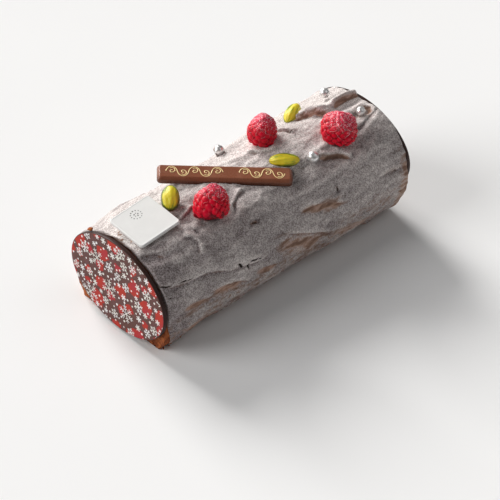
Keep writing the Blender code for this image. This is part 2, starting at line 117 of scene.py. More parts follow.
class Shader:
    """A material's node tree, put together one node at a time."""

    def __init__(self, name: str) -> None:
        """Start a material with a principled surface.

        Args:
            name: The material's name.
        """
        self.material = bpy.data.materials.new(name)
        self.material.use_nodes = True
        self.tree = self.material.node_tree
        self.surface = self.tree.nodes["Principled BSDF"]
        self.place = self.add("ShaderNodeTexCoord").outputs["Object"]

    def add(self, kind: str, inputs: Optional[dict] = None, **settings) -> bpy.types.Node:
        """Add a node.

        Args:
            kind: The node's type.
            inputs: Values or output sockets by input name or index.
            settings: Properties of the node.

        Returns:
            The node.
        """
        node = self.tree.nodes.new(kind)
        for name, value in settings.items():
            setattr(node, name, value)
        for name, value in (inputs or {}).items():
            if isinstance(value, bpy.types.NodeSocket):
                self.tree.links.new(value, node.inputs[name])
            else:
                node.inputs[name].default_value = value
        return node

    def grain(self, scale: float, detail: float = 2.0, rough_share: float = 0.5, twist: float = 0.0,
              place: Optional[bpy.types.NodeSocket] = None) -> bpy.types.NodeSocket:
        """Soft noise from 0 to 1, with scale in features per metre."""
        inputs = {"Vector": place or self.place, "Scale": scale, "Detail": detail, "Roughness": rough_share,
                  "Distortion": twist}
        return self.add("ShaderNodeTexNoise", inputs).outputs["Fac"]

    def cells(self, scale: float, feature: str = "F1", output: str = "Distance",
              place: Optional[bpy.types.NodeSocket] = None) -> bpy.types.NodeSocket:
        """Distances or colours of scattered cells, with scale in cells per metre."""
        return self.add("ShaderNodeTexVoronoi", {"Vector": place or self.place, "Scale": scale},
                        feature=feature).outputs[output]

    def stretch(self, factors: Sequence[float]) -> bpy.types.NodeSocket:
        """Object coordinates scaled differently along each axis."""
        return self.add("ShaderNodeMapping", {"Vector": self.place, "Scale": factors}).outputs["Vector"]

    def band(self, value: bpy.types.NodeSocket, low: float, high: float, first: float = 0.0,
             last: float = 1.0) -> bpy.types.NodeSocket:
        """Ease from first to last as value goes from low to high."""
        inputs = {"Value": value, "From Min": low, "From Max": high, "To Min": first, "To Max": last}
        return self.add("ShaderNodeMapRange", inputs, interpolation_type="SMOOTHSTEP").outputs["Result"]

    def sum_of(self, operation: str, first, second) -> bpy.types.NodeSocket:
        """Combine two values by a named operation, clamped from 0 to 1."""
        return self.add("ShaderNodeMath", {0: first, 1: second}, operation=operation, use_clamp=True).outputs[0]

    def blend(self, share, first, second, mode: str = "MIX") -> bpy.types.NodeSocket:
        """Blend two colours.

        Args:
            share: How much of the second shows, a number or a socket.
            first: The first colour, three numbers or a socket.
            second: The second colour.
            mode: Blender's blend mode.

        Returns:
            The blended colour's socket.
        """
        first, second = (colour if isinstance(colour, bpy.types.NodeSocket) else (*colour, 1.0)
                         for colour in (first, second))
        node = self.add("ShaderNodeMix", {0: share, 6: first, 7: second}, data_type="RGBA", blend_type=mode)
        return node.outputs[2]

    def attribute(self, name: str) -> bpy.types.NodeSocket:
        """A number stored on the mesh."""
        return self.add("ShaderNodeAttribute", attribute_name=name).outputs["Fac"]

    def upward(self) -> bpy.types.NodeSocket:
        """How far the surface faces up, from -1 to 1."""
        normal = self.add("ShaderNodeNewGeometry").outputs["Normal"]
        return self.add("ShaderNodeSeparateXYZ", {0: normal}).outputs["Z"]

    def bump(self, height: bpy.types.NodeSocket, distance: float, strength: float = 1.0,
             under: Optional[bpy.types.NodeSocket] = None) -> bpy.types.NodeSocket:
        """A bumped normal, with distance in metres."""
        inputs = {"Height": height, "Distance": distance, "Strength": strength}
        if under:
            inputs["Normal"] = under
        return self.add("ShaderNodeBump", inputs).outputs["Normal"]

    def finish(self, colour, roughness, normal: Optional[bpy.types.NodeSocket] = None,
               **constants: float) -> bpy.types.Material:
        """Join the results to the surface.

        Args:
            colour: Base colour, three numbers or a socket.
            roughness: Roughness, a number or a socket.
            normal: A bumped normal.
            constants: Other values of the surface, with _ for the space in an input's name.

        Returns:
            The material.
        """
        for name, value in (("Base Color", colour), ("Roughness", roughness), ("Normal", normal)):
            if isinstance(value, bpy.types.NodeSocket):
                self.tree.links.new(value, self.surface.inputs[name])
            elif value is not None:
                self.surface.inputs[name].default_value = (*value, 1.0) if name == "Base Color" else value
        for name, value in constants.items():
            self.surface.inputs[name.replace("_", " ")].default_value = value
        return self.material


@dataclass(frozen=True)
class VelourCream:
    """Cream sprayed with pale cocoa velour: grainy grey, brown where the spray didn't reach, painted shade in its
    creases, hollows and splits, and painted light along its crown and on its humps.
    """

    dark: tuple = (0.132, 0.104, 0.102)
    pale: tuple = (0.860, 0.805, 0.772)
    bare_and_shade: tuple = (0.580, 0.375, 0.285)
    bare_and_shade_dark: tuple = (0.230, 0.138, 0.100)
    crease_shade: tuple = (0.020, 0.013, 0.010)
    grain_per_metre: float = 1350.0

    def material(self) -> bpy.types.Material:
        """The finish as a material."""
        shader = Shader("velour_cream")
        fine = shader.grain(self.grain_per_metre, 2.0, 0.75)
        patchy = shader.grain(330.0, 3.0, 0.6)
        streaky = shader.grain(1.0, 3.0, 0.6, 0.4, shader.stretch((110.0, 300.0, 300.0)))
        # The pale share is real dust, with painted light along the crown and on humps and painted shade in hollows.
        dust = shader.attribute("dust")
        low = shader.blend(dust, self.dark, (0.470, 0.410, 0.394))
        high = shader.blend(dust, (0.400, 0.350, 0.350), self.pale)
        coat = shader.blend(shader.band(fine, 0.40, 0.60), low, high)
        coat = shader.blend(shader.band(patchy, 0.35, 0.70, 0.0, 0.22), coat, low)
        # Brown where the spray didn't reach, and brown painted shade in creases and hollows.
        bare_and_shade_colour = shader.blend(shader.band(streaky, 0.35, 0.65), self.bare_and_shade_dark, self.bare_and_shade)
        bare_and_shade_amount = shader.sum_of("ADD", shader.attribute("bare_and_shade"), shader.band(streaky, 0.3, 0.7, 0.25, -0.25))
        colour = shader.blend(shader.band(bare_and_shade_amount, 0.22, 0.82), coat, bare_and_shade_colour)
        # Painted shade: near-black along the laps' creases and in splits.
        colour = shader.blend(shader.band(shader.attribute("crease_shade"), 0.35, 0.75), colour, self.crease_shade)
        relief = shader.bump(patchy, 0.0004, 0.5)
        relief = shader.bump(fine, 0.00028, 1.0, relief)
        return shader.finish(colour, 0.92, relief, Specular_IOR_Level=0.25)


@dataclass(frozen=True)
class CrumbSponge:
    """Orange-brown sponge with open pores."""

    crumb: tuple = (0.440, 0.128, 0.040)
    crust: tuple = (0.240, 0.062, 0.022)
    pore: tuple = (0.130, 0.036, 0.012)

    def material(self) -> bpy.types.Material:
        """The finish as a material."""
        shader = Shader("crumb_sponge")
        broad = shader.grain(260.0, 3.0, 0.6)
        pores = shader.cells(900.0)
        colour = shader.blend(shader.band(broad, 0.36, 0.64), self.crust, self.crumb)
        colour = shader.blend(shader.band(pores, 0.05, 0.35, 0.85, 0.0), colour, self.pore)
        relief = shader.bump(pores, 0.0006)
        return shader.finish(colour, 0.95, shader.bump(broad, 0.0012, 0.8, relief), Specular_IOR_Level=0.2)


@dataclass(frozen=True)
class Chocolate:
    """Set chocolate: a body colour with faint bloom, satin or glossy, and painted shade where the mesh marks a rim."""

    name: str
    body: tuple
    bloom: tuple
    roughness: float
    bloom_share: float = 0.35
    coat: float = 0.0

    def material(self) -> bpy.types.Material:
        """The finish as a material."""
        shader = Shader(self.name)
        cloud = shader.grain(140.0, 4.0, 0.6)
        fine = shader.grain(1500.0, 2.0, 0.5)
        colour = shader.blend(shader.band(cloud, 0.40, 0.72, 0.0, self.bloom_share), self.body, self.bloom)
        # painted shade: darkens to about a third of the body colour where the mesh marks it
        colour = shader.blend(shader.attribute("rim"), colour, tuple(0.35 * channel for channel in self.body))
        shine = shader.band(fine, 0.3, 0.7, self.roughness - 0.06, self.roughness + 0.08)
        relief = shader.bump(cloud, 0.00025, 0.5)
        relief = shader.bump(fine, 0.00005, 0.6, relief)
        return shader.finish(colour, shine, relief, Coat_Weight=self.coat, Coat_Roughness=0.18, Specular_IOR_Level=0.25)


@dataclass(frozen=True)
class PrintInk:
    """Coloured cocoa butter printed on chocolate, slightly uneven."""

    name: str
    ink: tuple
    other: tuple
    thin: tuple
    roughness: float = 0.5

    def material(self) -> bpy.types.Material:
        """The finish as a material."""
        shader = Shader(self.name)
        patchy = shader.grain(900.0, 3.0, 0.6)
        broad = shader.grain(90.0, 1.0)
        colour = shader.blend(shader.band(broad, 0.42, 0.62), self.ink, self.other)
        colour = shader.blend(shader.band(patchy, 0.52, 0.78, 0.0, 0.6), colour, self.thin)
        return shader.finish(colour, self.roughness, shader.bump(patchy, 0.00003, 0.4), Specular_IOR_Level=0.2)


@dataclass(frozen=True)
class GoldPaint:
    """Edible gold, brushed on thinly."""

    gold: tuple = (0.930, 0.720, 0.360)
    worn: tuple = (0.740, 0.500, 0.190)

    def material(self) -> bpy.types.Material:
        """The finish as a material."""
        shader = Shader("gold_paint")
        patchy = shader.grain(1200.0, 3.0, 0.6)
        colour = shader.blend(shader.band(patchy, 0.5, 0.8), self.gold, self.worn)
        return shader.finish(colour, 0.42, shader.bump(patchy, 0.00004, 0.5), Metallic=0.15)


@dataclass(frozen=True)
class RipeBerry:
    """Raspberry skin: glossy red drupelets with painted shade between them, dusted with sugar on top."""

    skin: tuple = (0.660, 0.001, 0.020)
    deep: tuple = (0.340, 0.0005, 0.010)
    inside: tuple = (0.110, 0.0005, 0.003)
    frost: tuple = (1.000, 0.800, 0.840)

    def material(self) -> bpy.types.Material:
        """The finish as a material."""
        shader = Shader("ripe_berry")
        tip, crown = shader.attribute("tip"), shader.attribute("crown")
        patchy = shader.grain(900.0, 3.0, 0.65)
        tone = shader.grain(170.0, 1.0)
        # painted shade: each drupelet darkens towards its foot, where it meets its neighbours
        skin = shader.blend(shader.band(tip, 0.02, 0.30), self.inside, self.deep)
        skin = shader.blend(shader.band(tip, 0.30, 0.80), skin, self.skin)
        skin = shader.blend(shader.band(tone, 0.4, 0.7, 0.0, 0.45), skin, (0.560, 0.002, 0.030))
        skin = shader.blend(shader.band(crown, 0.60, 1.00, 0.0, 0.30), skin, (0.800, 0.060, 0.160))
        up = shader.band(crown, 0.45, 0.85)
        rims = shader.band(tip, 0.42, 0.68, 0.45, 0.03)
        dust = shader.sum_of("MULTIPLY", up, shader.sum_of("MULTIPLY", rims, shader.band(patchy, 0.36, 0.56)))
        hairs = shader.sum_of("MULTIPLY", shader.band(crown, 0.25, 0.60, 0.05, 0.9), shader.band(tip, 1.6, 1.9))
        specks = shader.sum_of("MULTIPLY", up, shader.band(shader.grain(1500.0, 2.0, 0.7), 0.58, 0.65))
        dust = shader.sum_of("MAXIMUM", shader.sum_of("MAXIMUM", dust, hairs), specks)
        colour = shader.blend(dust, skin, self.frost)
        relief = shader.bump(patchy, 0.00012, 0.6)
        return shader.finish(colour, shader.band(patchy, 0.3, 0.7, 0.26, 0.44), relief, Subsurface_Weight=0.05,
                             Subsurface_Scale=0.0015, Specular_IOR_Level=0.20)


@dataclass(frozen=True)
class Kernel:
    """Pistachio kernel: yellow-green flesh with darker green skin and brown traces at its base."""

    yellow: tuple = (0.780, 0.640, 0.025)
    lime: tuple = (0.360, 0.430, 0.018)
    olive: tuple = (0.125, 0.150, 0.012)
    brown: tuple = (0.180, 0.085, 0.030)

    def material(self) -> bpy.types.Material:
        """The finish as a material."""
        shader = Shader("pistachio_kernel")
        broad = shader.grain(260.0, 3.0, 0.6)
        fine = shader.grain(1300.0, 3.0, 0.6)
        rim = shader.sum_of("ADD", shader.attribute("rim"), shader.band(broad, 0.3, 0.7, -0.12, 0.12))
        colour = shader.blend(shader.band(rim, 0.15, 0.50), self.yellow, self.lime)
        colour = shader.blend(shader.band(rim, 0.50, 0.90), colour, self.olive)
        husk = shader.sum_of("MULTIPLY", shader.attribute("husk"), shader.band(fine, 0.35, 0.6))
        colour = shader.blend(husk, colour, self.brown)
        relief = shader.bump(fine, 0.00025, 0.7)
        return shader.finish(colour, 0.42, shader.bump(broad, 0.0008, 0.7, relief), Subsurface_Weight=0.08,
                             Subsurface_Scale=0.001)


@dataclass(frozen=True)
class SilverLeaf:
    """Silvered sugar: a pearly metal skin with faint dimples."""

    bright: tuple = (0.900, 0.895, 0.885)
    dull: tuple = (0.620, 0.600, 0.590)

    def material(self) -> bpy.types.Material:
        """The finish as a material."""
        shader = Shader("silver_leaf")
        broad = shader.grain(500.0, 3.0, 0.6)
        colour = shader.blend(shader.band(broad, 0.4, 0.7), self.bright, self.dull)
        return shader.finish(colour, shader.band(broad, 0.3, 0.7, 0.24, 0.38), shader.bump(broad, 0.00012, 0.5),
                             Metallic=0.72)


def new_piece(name: str, mesh: bpy.types.Mesh, material: bpy.types.Material) -> bpy.types.Object:
    """Make an object at the origin from a finished mesh.

    Args:
        name: The piece's name.
        mesh: Its mesh, already in place.
        material: Its only material.

    Returns:
        The object, linked to the scene.
    """
    mesh.name = name
    mesh.materials.clear()
    mesh.materials.append(material)
    piece = bpy.data.objects.new(name, mesh)
    bpy.context.scene.collection.objects.link(piece)
    return piece


def skin_mesh(points: np.ndarray, faces: Sequence[Sequence[int]], smooth_angle: float = 180.0) -> bpy.types.Mesh:
    """A mesh from points and faces, shaded smooth below an angle.

    Args:
        points: Rows of coordinates.
        faces: Point numbers of each face.
        smooth_angle: Angle in degrees above which an edge stays sharp.

    Returns:
        The mesh, with its faces outwards.
    """
    mesh = bpy.data.meshes.new("skin")
    mesh.from_pydata(points.tolist(), [], [list(face) for face in faces])
    work = bmesh.new()
    work.from_mesh(mesh)
    bmesh.ops.recalc_face_normals(work, faces=work.faces)
    work.to_mesh(mesh)
    work.free()
    mesh.shade_smooth()
    if smooth_angle < 180.0:
        mesh.set_sharp_from_angle(angle=math.radians(smooth_angle))
    return mesh


def lofted(rings: np.ndarray, first_tip: Optional[np.ndarray] = None, last_tip: Optional[np.ndarray] = None,
           smooth_angle: float = 180.0) -> bpy.types.Mesh:
    """Join closed rings of points into a closed skin.

    Args:
        rings: Rings by points by coordinates.
        first_tip: A point that closes the first ring, which is a flat face without it.
        last_tip: The same for the last ring.
        smooth_angle: Angle in degrees above which an edge stays sharp.

    Returns:
        The mesh.
    """
    count, around = rings.shape[:2]
    points = rings.reshape(-1, 3)
    faces = []
    for ring in range(count - 1):
        base = ring * around
        for index in range(around):
            after = (index + 1) % around
            faces.append((base + index, base + after, base + around + after, base + around + index))
    for base, tip in ((0, first_tip), ((count - 1) * around, last_tip)):
        if tip is None:
            faces.append(tuple(base + index for index in range(around)))
        else:
            points = np.vstack([points, tip])
            top = len(points) - 1
            faces += [(base + index, base + (index + 1) % around, top) for index in range(around)]
    return skin_mesh(points, faces, smooth_angle)


def store(mesh: bpy.types.Mesh, name: str, values: np.ndarray) -> None:
    """Keep one number for each point of a mesh under a name."""
    layer = mesh.attributes.new(name, "FLOAT", "POINT")
    layer.data.foreach_set("value", np.ascontiguousarray(values, np.float32).ravel())


def moved(mesh: bpy.types.Mesh, place: Matrix) -> bpy.types.Mesh:
    """The same mesh, put in its place."""
    mesh.transform(place)
    return mesh


class Planter:
    """A Geometry Nodes tree with named sizes that grows a piece on a carrier mesh."""

    def __init__(self, name: str) -> None:
        """Start an empty tree.

        Args:
            name: The tree's name.
        """
        self.tree = bpy.data.node_groups.new(name, "GeometryNodeTree")
        self.tree.interface.new_socket("Geometry", in_out="INPUT", socket_type="NodeSocketGeometry")
        self.tree.interface.new_socket("Geometry", in_out="OUTPUT", socket_type="NodeSocketGeometry")
        self.entry = self.tree.nodes.new("NodeGroupInput")
        self.leave = self.tree.nodes.new("NodeGroupOutput")
        self.values = {}

    @property
    def carrier(self) -> bpy.types.NodeSocket:
        """The carrier mesh."""
        return self.entry.outputs[0]

    def size(self, name: str, value, kind: str = "NodeSocketFloat") -> bpy.types.NodeSocket:
        """Add a named input and remember its value.

        Args:
            name: The input's name.
            value: Its value.
            kind: Its socket type.

        Returns:
            The input's socket inside the tree.
        """
        made = self.tree.interface.new_socket(name, in_out="INPUT", socket_type=kind)
        self.values[made.identifier] = value
        return next(socket for socket in self.entry.outputs if socket.identifier == made.identifier)

    def add(self, kind: str, inputs: Optional[dict] = None, **settings) -> bpy.types.Node:
        """Add a node.

        Args:
            kind: The node's type.
            inputs: Values or output sockets by input name or index.
            settings: Properties of the node.

        Returns:
            The node.
        """
        node = self.tree.nodes.new(kind)
        for name, value in settings.items():
            setattr(node, name, value)
        for name, value in (inputs or {}).items():
            for each in value if isinstance(value, list) else [value]:
                if isinstance(each, bpy.types.NodeSocket):
                    self.tree.links.new(each, node.inputs[name])
                else:
                    node.inputs[name].default_value = each
        return node

    def calc(self, operation: str, first, second=0.0, third=0.0) -> bpy.types.NodeSocket:
        """Work out one number by a named operation."""
        return self.add("ShaderNodeMath", {0: first, 1: second, 2: third}, operation=operation).outputs[0]

    def vector(self, x=0.0, y=0.0, z=0.0) -> bpy.types.NodeSocket:
        """A vector from three numbers."""
        return self.add("ShaderNodeCombineXYZ", {0: x, 1: y, 2: z}).outputs[0]

    def chance(self, low, high, seed: int, kind: str = "FLOAT") -> bpy.types.NodeSocket:
        """A random value for each element, between low and high.

        Args:
            low: Lowest value, numbers of the kind.
            high: Highest value.
            seed: Fixed seed.
            kind: FLOAT or FLOAT_VECTOR.

        Returns:
            The value's socket.
        """
        first = 0 if kind == "FLOAT_VECTOR" else 2
        node = self.add("FunctionNodeRandomValue", {"Seed": seed}, data_type=kind)
        for index, value in ((first, low), (first + 1, high)):
            if isinstance(value, bpy.types.NodeSocket):
                self.tree.links.new(value, node.inputs[index])
            else:
                node.inputs[index].default_value = value
        return node.outputs[0 if kind == "FLOAT_VECTOR" else 1]

    def scatter(self, points, shape, scale=1.0, rotation=(0.0, 0.0, 0.0)) -> bpy.types.NodeSocket:
        """Put a shape on every point."""
        inputs = {"Points": points, "Instance": shape, "Scale": scale, "Rotation": rotation}
        if isinstance(scale, float):
            inputs["Scale"] = (scale, scale, scale)
        return self.add("GeometryNodeInstanceOnPoints", inputs).outputs[0]

    def roughen(self, shape, scale: float, depth: float) -> bpy.types.NodeSocket:
        """Push a shape's points about by noise."""
        place = self.add("GeometryNodeInputPosition").outputs[0]
        cloud = self.add("ShaderNodeTexNoise", {"Vector": place, "Scale": scale, "Detail": 1.0}).outputs["Color"]
        push = self.add("ShaderNodeVectorMath", {0: cloud, 1: (0.5, 0.5, 0.5)}, operation="SUBTRACT").outputs[0]
        push = self.add("ShaderNodeVectorMath", {0: push, "Scale": depth}, operation="SCALE").outputs[0]
        return self.add("GeometryNodeSetPosition", {"Geometry": shape, "Offset": push}).outputs[0]

    def grow(self, geometry: bpy.types.NodeSocket, material: bpy.types.Material,
             carrier: bpy.types.Mesh) -> bpy.types.Mesh:
        """Close the tree, run it on a carrier and keep the result as a plain mesh.

        Args:
            geometry: The finished geometry.
            material: Its material.
            carrier: The mesh that the tree starts from.

        Returns:
            The plain mesh.
        """
        real = self.add("GeometryNodeRealizeInstances", {0: geometry}).outputs[0]
        dressed = self.add("GeometryNodeSetMaterial", {"Geometry": real, "Material": material}).outputs[0]
        self.tree.links.new(dressed, self.leave.inputs[0])
        holder = bpy.data.objects.new("holder", carrier)
        bpy.context.scene.collection.objects.link(holder)
        modifier = holder.modifiers.new("grow", "NODES")
        modifier.node_group = self.tree
        for identifier, value in self.values.items():
            modifier[identifier] = value
        holder.update_tag()
        graph = bpy.context.evaluated_depsgraph_get()
        made = bpy.data.objects.new("grown", bpy.data.meshes.new_from_object(holder.evaluated_get(graph)))
        mesh = made.data
        bpy.data.objects.remove(made)
        holder.modifiers.remove(modifier)
        bpy.data.objects.remove(holder)
        return mesh


def polyline(points: Sequence[Vector]) -> bpy.types.Mesh:
    """A mesh that is only a line through some points."""
    mesh = bpy.data.meshes.new("line")
    mesh.from_pydata([tuple(point) for point in points], [(i, i + 1) for i in range(len(points) - 1)], [])
    return mesh


def dress(piece: bpy.types.Object, slot: Optional[Slot] = None, *nodes: str) -> bpy.types.Object:
    """Let a piece ride the cake and stand for its solids.

    Args:
        piece: The finished piece.
        slot: The record's material slot, if it has one; not used.
        nodes: The solids it stands for.

    Returns:
        The piece.
    """
    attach(piece, "root")
    if nodes:
        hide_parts(*nodes)
    triangles = sum(len(face.vertices) - 2 for face in piece.data.polygons)
    LOG.info("%s: %d triangles, for %s", piece.name, triangles, ", ".join(nodes) or "no solid")
    return piece


@dataclass(frozen=True)
class Stroke:
    """A mark of the palette knife with a smooth outline, in millimetres.

    heading turns its long axis from +X towards a growing run. shelf drops the side away from the
    crown more steeply than the other. The last value is how much brown shows in it.
    """

    x: float
    run: float
    length: float
    width: float
    rise: float
    heading: float = 0.0
    shelf: float = 0.0
    bare_and_shade: float = 0.0

    def frame_of(self, x: np.ndarray, run: np.ndarray) -> tuple[np.ndarray, np.ndarray]:
        """Distances along and across the mark, in metres."""
        turn = math.radians(self.heading)
        east, south = x - self.x * MM, run - self.run * MM
        return east * math.cos(turn) + south * math.sin(turn), south * math.cos(turn) - east * math.sin(turn)

    def shape(self, x: np.ndarray, run: np.ndarray) -> np.ndarray:
        """How strongly the mark shows at each place, from 0 to 1."""
        along, across = self.frame_of(x, run)
        width = np.where(across > 0.0, self.width / (1.0 + self.shelf), self.width) / 2.0 * MM
        return np.exp(-((2.0 * along / (self.length * MM)) ** 4) - (across / width) ** 2)


@dataclass(frozen=True)
class Lap:
    """A lap of cream along a path: it rises to a lip and drops sharply on the side away from the crown.

    path holds (x, run) in millimetres. rise is the lip's height, drop how wide the fall is and back
    how far the cream takes to rise. The last two give brown in its crease, partly painted shade, and near-black painted
    shade.
    """

    path: tuple
    rise: float
    drop: float
    back: float
    bare_and_shade: float = 0.0
    crease_shade: float = 0.0

    def measure(self, x: np.ndarray, run: np.ndarray) -> tuple[np.ndarray, np.ndarray]:
        """Signed distance from the path, positive away from the crown, and the share of its length."""
        path = np.array(self.path) * MM
        steps = np.diff(path, axis=0)
        lengths = np.linalg.norm(steps, axis=1)
        starts = np.concatenate([[0.0], np.cumsum(lengths)[:-1]])
        best = np.full(x.shape, 1.0)
        side = np.zeros(x.shape)
        share = np.zeros(x.shape)
        for start, step, length, before in zip(path, steps, lengths, starts):
            east, south = x - start[0], run - start[1]
            along = np.clip((east * step[0] + south * step[1]) / length ** 2, 0.0, 1.0)
            distance = np.hypot(east - along * step[0], south - along * step[1])
            nearer = distance < best
            best = np.where(nearer, distance, best)
            side = np.where(nearer, np.sign(step[0] * south - step[1] * east), side)
            share = np.where(nearer, (before + along * length) / lengths.sum(), share)
        return best * np.where(side == 0.0, 1.0, side), share

    def shape(self, x: np.ndarray, run: np.ndarray) -> tuple[np.ndarray, np.ndarray, np.ndarray]:
        """Height, brown that is partly painted shade, and near-black painted shade that the lap gives each place."""
        distance, share = self.measure(x, run)
        fade = ease(np.minimum(share, 1.0 - share) / 0.18)
        drop, back = self.drop * MM, self.back * MM
        lip = np.where(distance < 0.0, np.exp(-(distance / back) ** 2),
                       1.0 - 1.25 * ease(distance / drop) + 0.25 * ease((distance - drop) / (1.6 * drop)))
        lip = np.where(distance > 2.6 * drop, 0.0, lip)
        # painted shade: brown across the fall and a near-black line along it
        crease = np.exp(-((distance - 0.8 * drop) / (0.75 * drop)) ** 2)
        line = np.exp(-((distance - 0.75 * drop) / (0.42 * MM)) ** 2)
        return self.rise * MM * lip * fade, self.bare_and_shade * crease * fade, self.crease_shade * line * fade


@dataclass(frozen=True)
class Tear:
    """A short split in the cream, in millimetres: thin and deep, and dark with painted shade."""

    x: float
    run: float
    length: float
    width: float
    heading: float = 0.0
    depth: float = 0.8

    def shape(self, x: np.ndarray, run: np.ndarray) -> np.ndarray:
        """How strongly the split shows at each place, from 0 to 1."""
        along, across = Stroke(self.x, self.run, self.length, self.width, 0.0, self.heading).frame_of(x, run)
        wander = 0.25 * self.width * MM * np.sin(along / (0.9 * MM))
        return np.exp(-((2.0 * along / (self.length * MM)) ** 4) - ((across - wander) / (self.width / 2.0 * MM)) ** 2)


@dataclass(frozen=True)
class Section:
    """The log's cross-sections at many places along it."""

    half_width: np.ndarray
    waist: np.ndarray
    crown: np.ndarray
    foot: np.ndarray

    def reach(self, turn: np.ndarray) -> np.ndarray:
        """Distance from the waist's middle to the outline at an angle from the crown."""
        power = LogForm.squareness
        lower = self.waist / (1.0 - (self.foot / self.half_width) ** power) ** (1.0 / power)
        rise = np.where(np.cos(turn) >= 0.0, self.crown - self.waist, lower)
        across = np.abs(np.sin(turn)) / self.half_width
        return (across ** power + (np.abs(np.cos(turn)) / rise) ** power) ** (-1.0 / power)

    def foot_turn(self) -> np.ndarray:
        """Angle from the crown at which the section meets its foot."""
        return np.arctan2(self.foot, -self.waist)

    def run(self, turn: np.ndarray) -> np.ndarray:
        """Distance round the coat from the crown."""
        return turn * (self.half_width + self.crown - self.waist) / 2.0

    def point(self, x: np.ndarray, turn: np.ndarray, reach: np.ndarray) -> np.ndarray:
        """Points at an angle and a distance from the waist's middle."""
        x, turn, reach, waist = np.broadcast_arrays(x, turn, reach, self.waist)
        return np.stack([x, -reach * np.sin(turn), waist + reach * np.cos(turn)], axis=-1)


@dataclass(frozen=True)
class LogForm:
    """The smooth shape of the log, and how its front end leans back with the plate on it."""

    front_half_width: float = 0.0383
    back_half_width: float = 0.0396
    front_waist: float = 0.0258
    back_waist: float = 0.0297
    front_crown: float = 0.0564
    back_crown: float = 0.0635
    end_droop: float = 0.0020
    foot_half_width: float = 0.0253
    foot_flare: float = 0.0052
    swell_start: float = 0.0053
    swell_end: float = 0.0663
    flare_start: float = -0.0837
    flare_run: float = 0.030
    squareness: float = 2.1
    back: float = 0.0866
    foot_setback: float = 0.0078
    edge_wander: float = 0.0006
    lean: float = math.radians(4.0)
    plate_thickness: float = 0.0024
    plate_lift: float = 0.0004

    def flare(self, x: np.ndarray) -> np.ndarray:
        """How much the log spreads as it nears the decorated end, from 0 to 1."""
        return 1.0 - ease((x - self.flare_start) / self.flare_run)

    def section(self, x: np.ndarray, inset: float = 0.0, foot_inset: float = 0.0) -> Section:
        """The sections at x, drawn in by inset all round and by foot_inset at the foot."""
        swell = ease((x - self.swell_start) / (self.swell_end - self.swell_start))
        flare = self.flare(x)
        return Section(self.front_half_width + (self.back_half_width - self.front_half_width) * swell - inset,
                       self.front_waist + (self.back_waist - self.front_waist) * swell,
                       self.front_crown + (self.back_crown - self.front_crown) * swell - self.end_droop * flare - inset,
                       self.foot_half_width + self.foot_flare * flare - foot_inset)

    def behind_plate(self, height: np.ndarray) -> np.ndarray:
        """Where along the log the back of the leaning front plate is, at a height."""
        foot = CAD_LOW.x + self.plate_thickness / math.cos(self.lean)
        return foot + (height - self.plate_lift) * math.tan(self.lean)

    def front_edge(self, share: np.ndarray) -> np.ndarray:
        """Where the coat starts, for a share from -1 to 1 of the way round to its foot."""
        first = self.section(np.array(self.flare_start))
        turn = first.foot_turn() * share
        height = first.waist + first.reach(turn) * np.cos(turn)
        edge = self.behind_plate(height) + 2.0 * GAP
        edge = edge + self.foot_setback * np.maximum(0.0, (np.abs(share) - 0.66) / 0.34) ** 2
        return edge + self.edge_wander * (1.0 + rough(share * 6.0, 0.3, 0.0))

    def back_edge(self, share: np.ndarray) -> np.ndarray:
        """Where the coat ends."""
        return self.back + self.edge_wander * (rough(share * 6.0, 8.3, 0.0) - 0.5)


@dataclass(frozen=True)
class Oval:
    """A berry, nut or ball: its solid, its half sizes and which way its long axis points.

    shift is how far its middle lies from the middle of the solid's box, along the axis.
    """

    node: str
    size: tuple
    axis: tuple
    shift: float = 0.0

    def place(self) -> Matrix:
        """Matrix that puts the middle in place and turns local Z to the long axis."""
        low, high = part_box(self.node)
        axis = Vector(self.axis).normalized()
        return Matrix.Translation((low + high) / 2.0 + axis * self.shift) @ axis.to_track_quat("Z", "Y").to_matrix().to_4x4()


@dataclass(frozen=True)
class Slab:
    """The plaque or the finger: its solid, its sizes and its turns about Z, Y and X."""

    node: str
    length: float
    width: float
    thickness: float
    heading: float
    pitch: float
    roll: float

    def place(self) -> Matrix:
        """Matrix that puts the middle of its top in place."""
        low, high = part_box(self.node)
        turn = (Matrix.Rotation(math.radians(self.heading), 4, "Z") @ Matrix.Rotation(math.radians(self.pitch), 4, "Y")
                @ Matrix.Rotation(math.radians(self.roll), 4, "X"))
        top = (low + high) / 2.0 + turn.to_3x3() @ Vector((0.0, 0.0, self.thickness / 2.0))
        return Matrix.Translation(top) @ turn


BERRIES = (
    Oval("berry_front", (0.0096, 0.0096, 0.0098), (0.40, 0.44, 0.80), -0.0008),
    Oval("berry_middle", (0.0083, 0.0083, 0.0096), (0.02, 0.04, 1.0), -0.0008),
    Oval("berry_back", (0.0100, 0.0098, 0.0100), (0.22, -0.10, 0.97), -0.0008),
)
NUTS = (
    Oval("pistachio_front", (0.0051, 0.0042, 0.0070), (0.60, 0.66, 0.42), 0.0008),
    Oval("pistachio_middle", (0.0042, 0.0033, 0.0082), (0.76, -0.64, 0.02)),
    Oval("pistachio_back", (0.0040, 0.0034, 0.0076), (0.90, 0.38, 0.14)),
)
BALLS = (
    Oval("silver_ball_near", (0.0033, 0.0033, 0.0033), (0, 0, 1)),
    Oval("silver_ball_far", (0.0029, 0.0029, 0.0029), (0, 0, 1)),
    Oval("silver_ball_ridge", (0.0029, 0.0029, 0.0029), (0, 0, 1)),
    Oval("silver_ball_hollow", (0.0026, 0.0026, 0.0026), (0, 0, 1)),
)
PLAQUE = Slab("plaque", 0.0262, 0.0262, 0.0020, 0.0, -6.2, 2.5)
FINGER = Slab("chocolate_finger", 0.0715, 0.0112, 0.0042, -39.9, 3.0, 6.0)

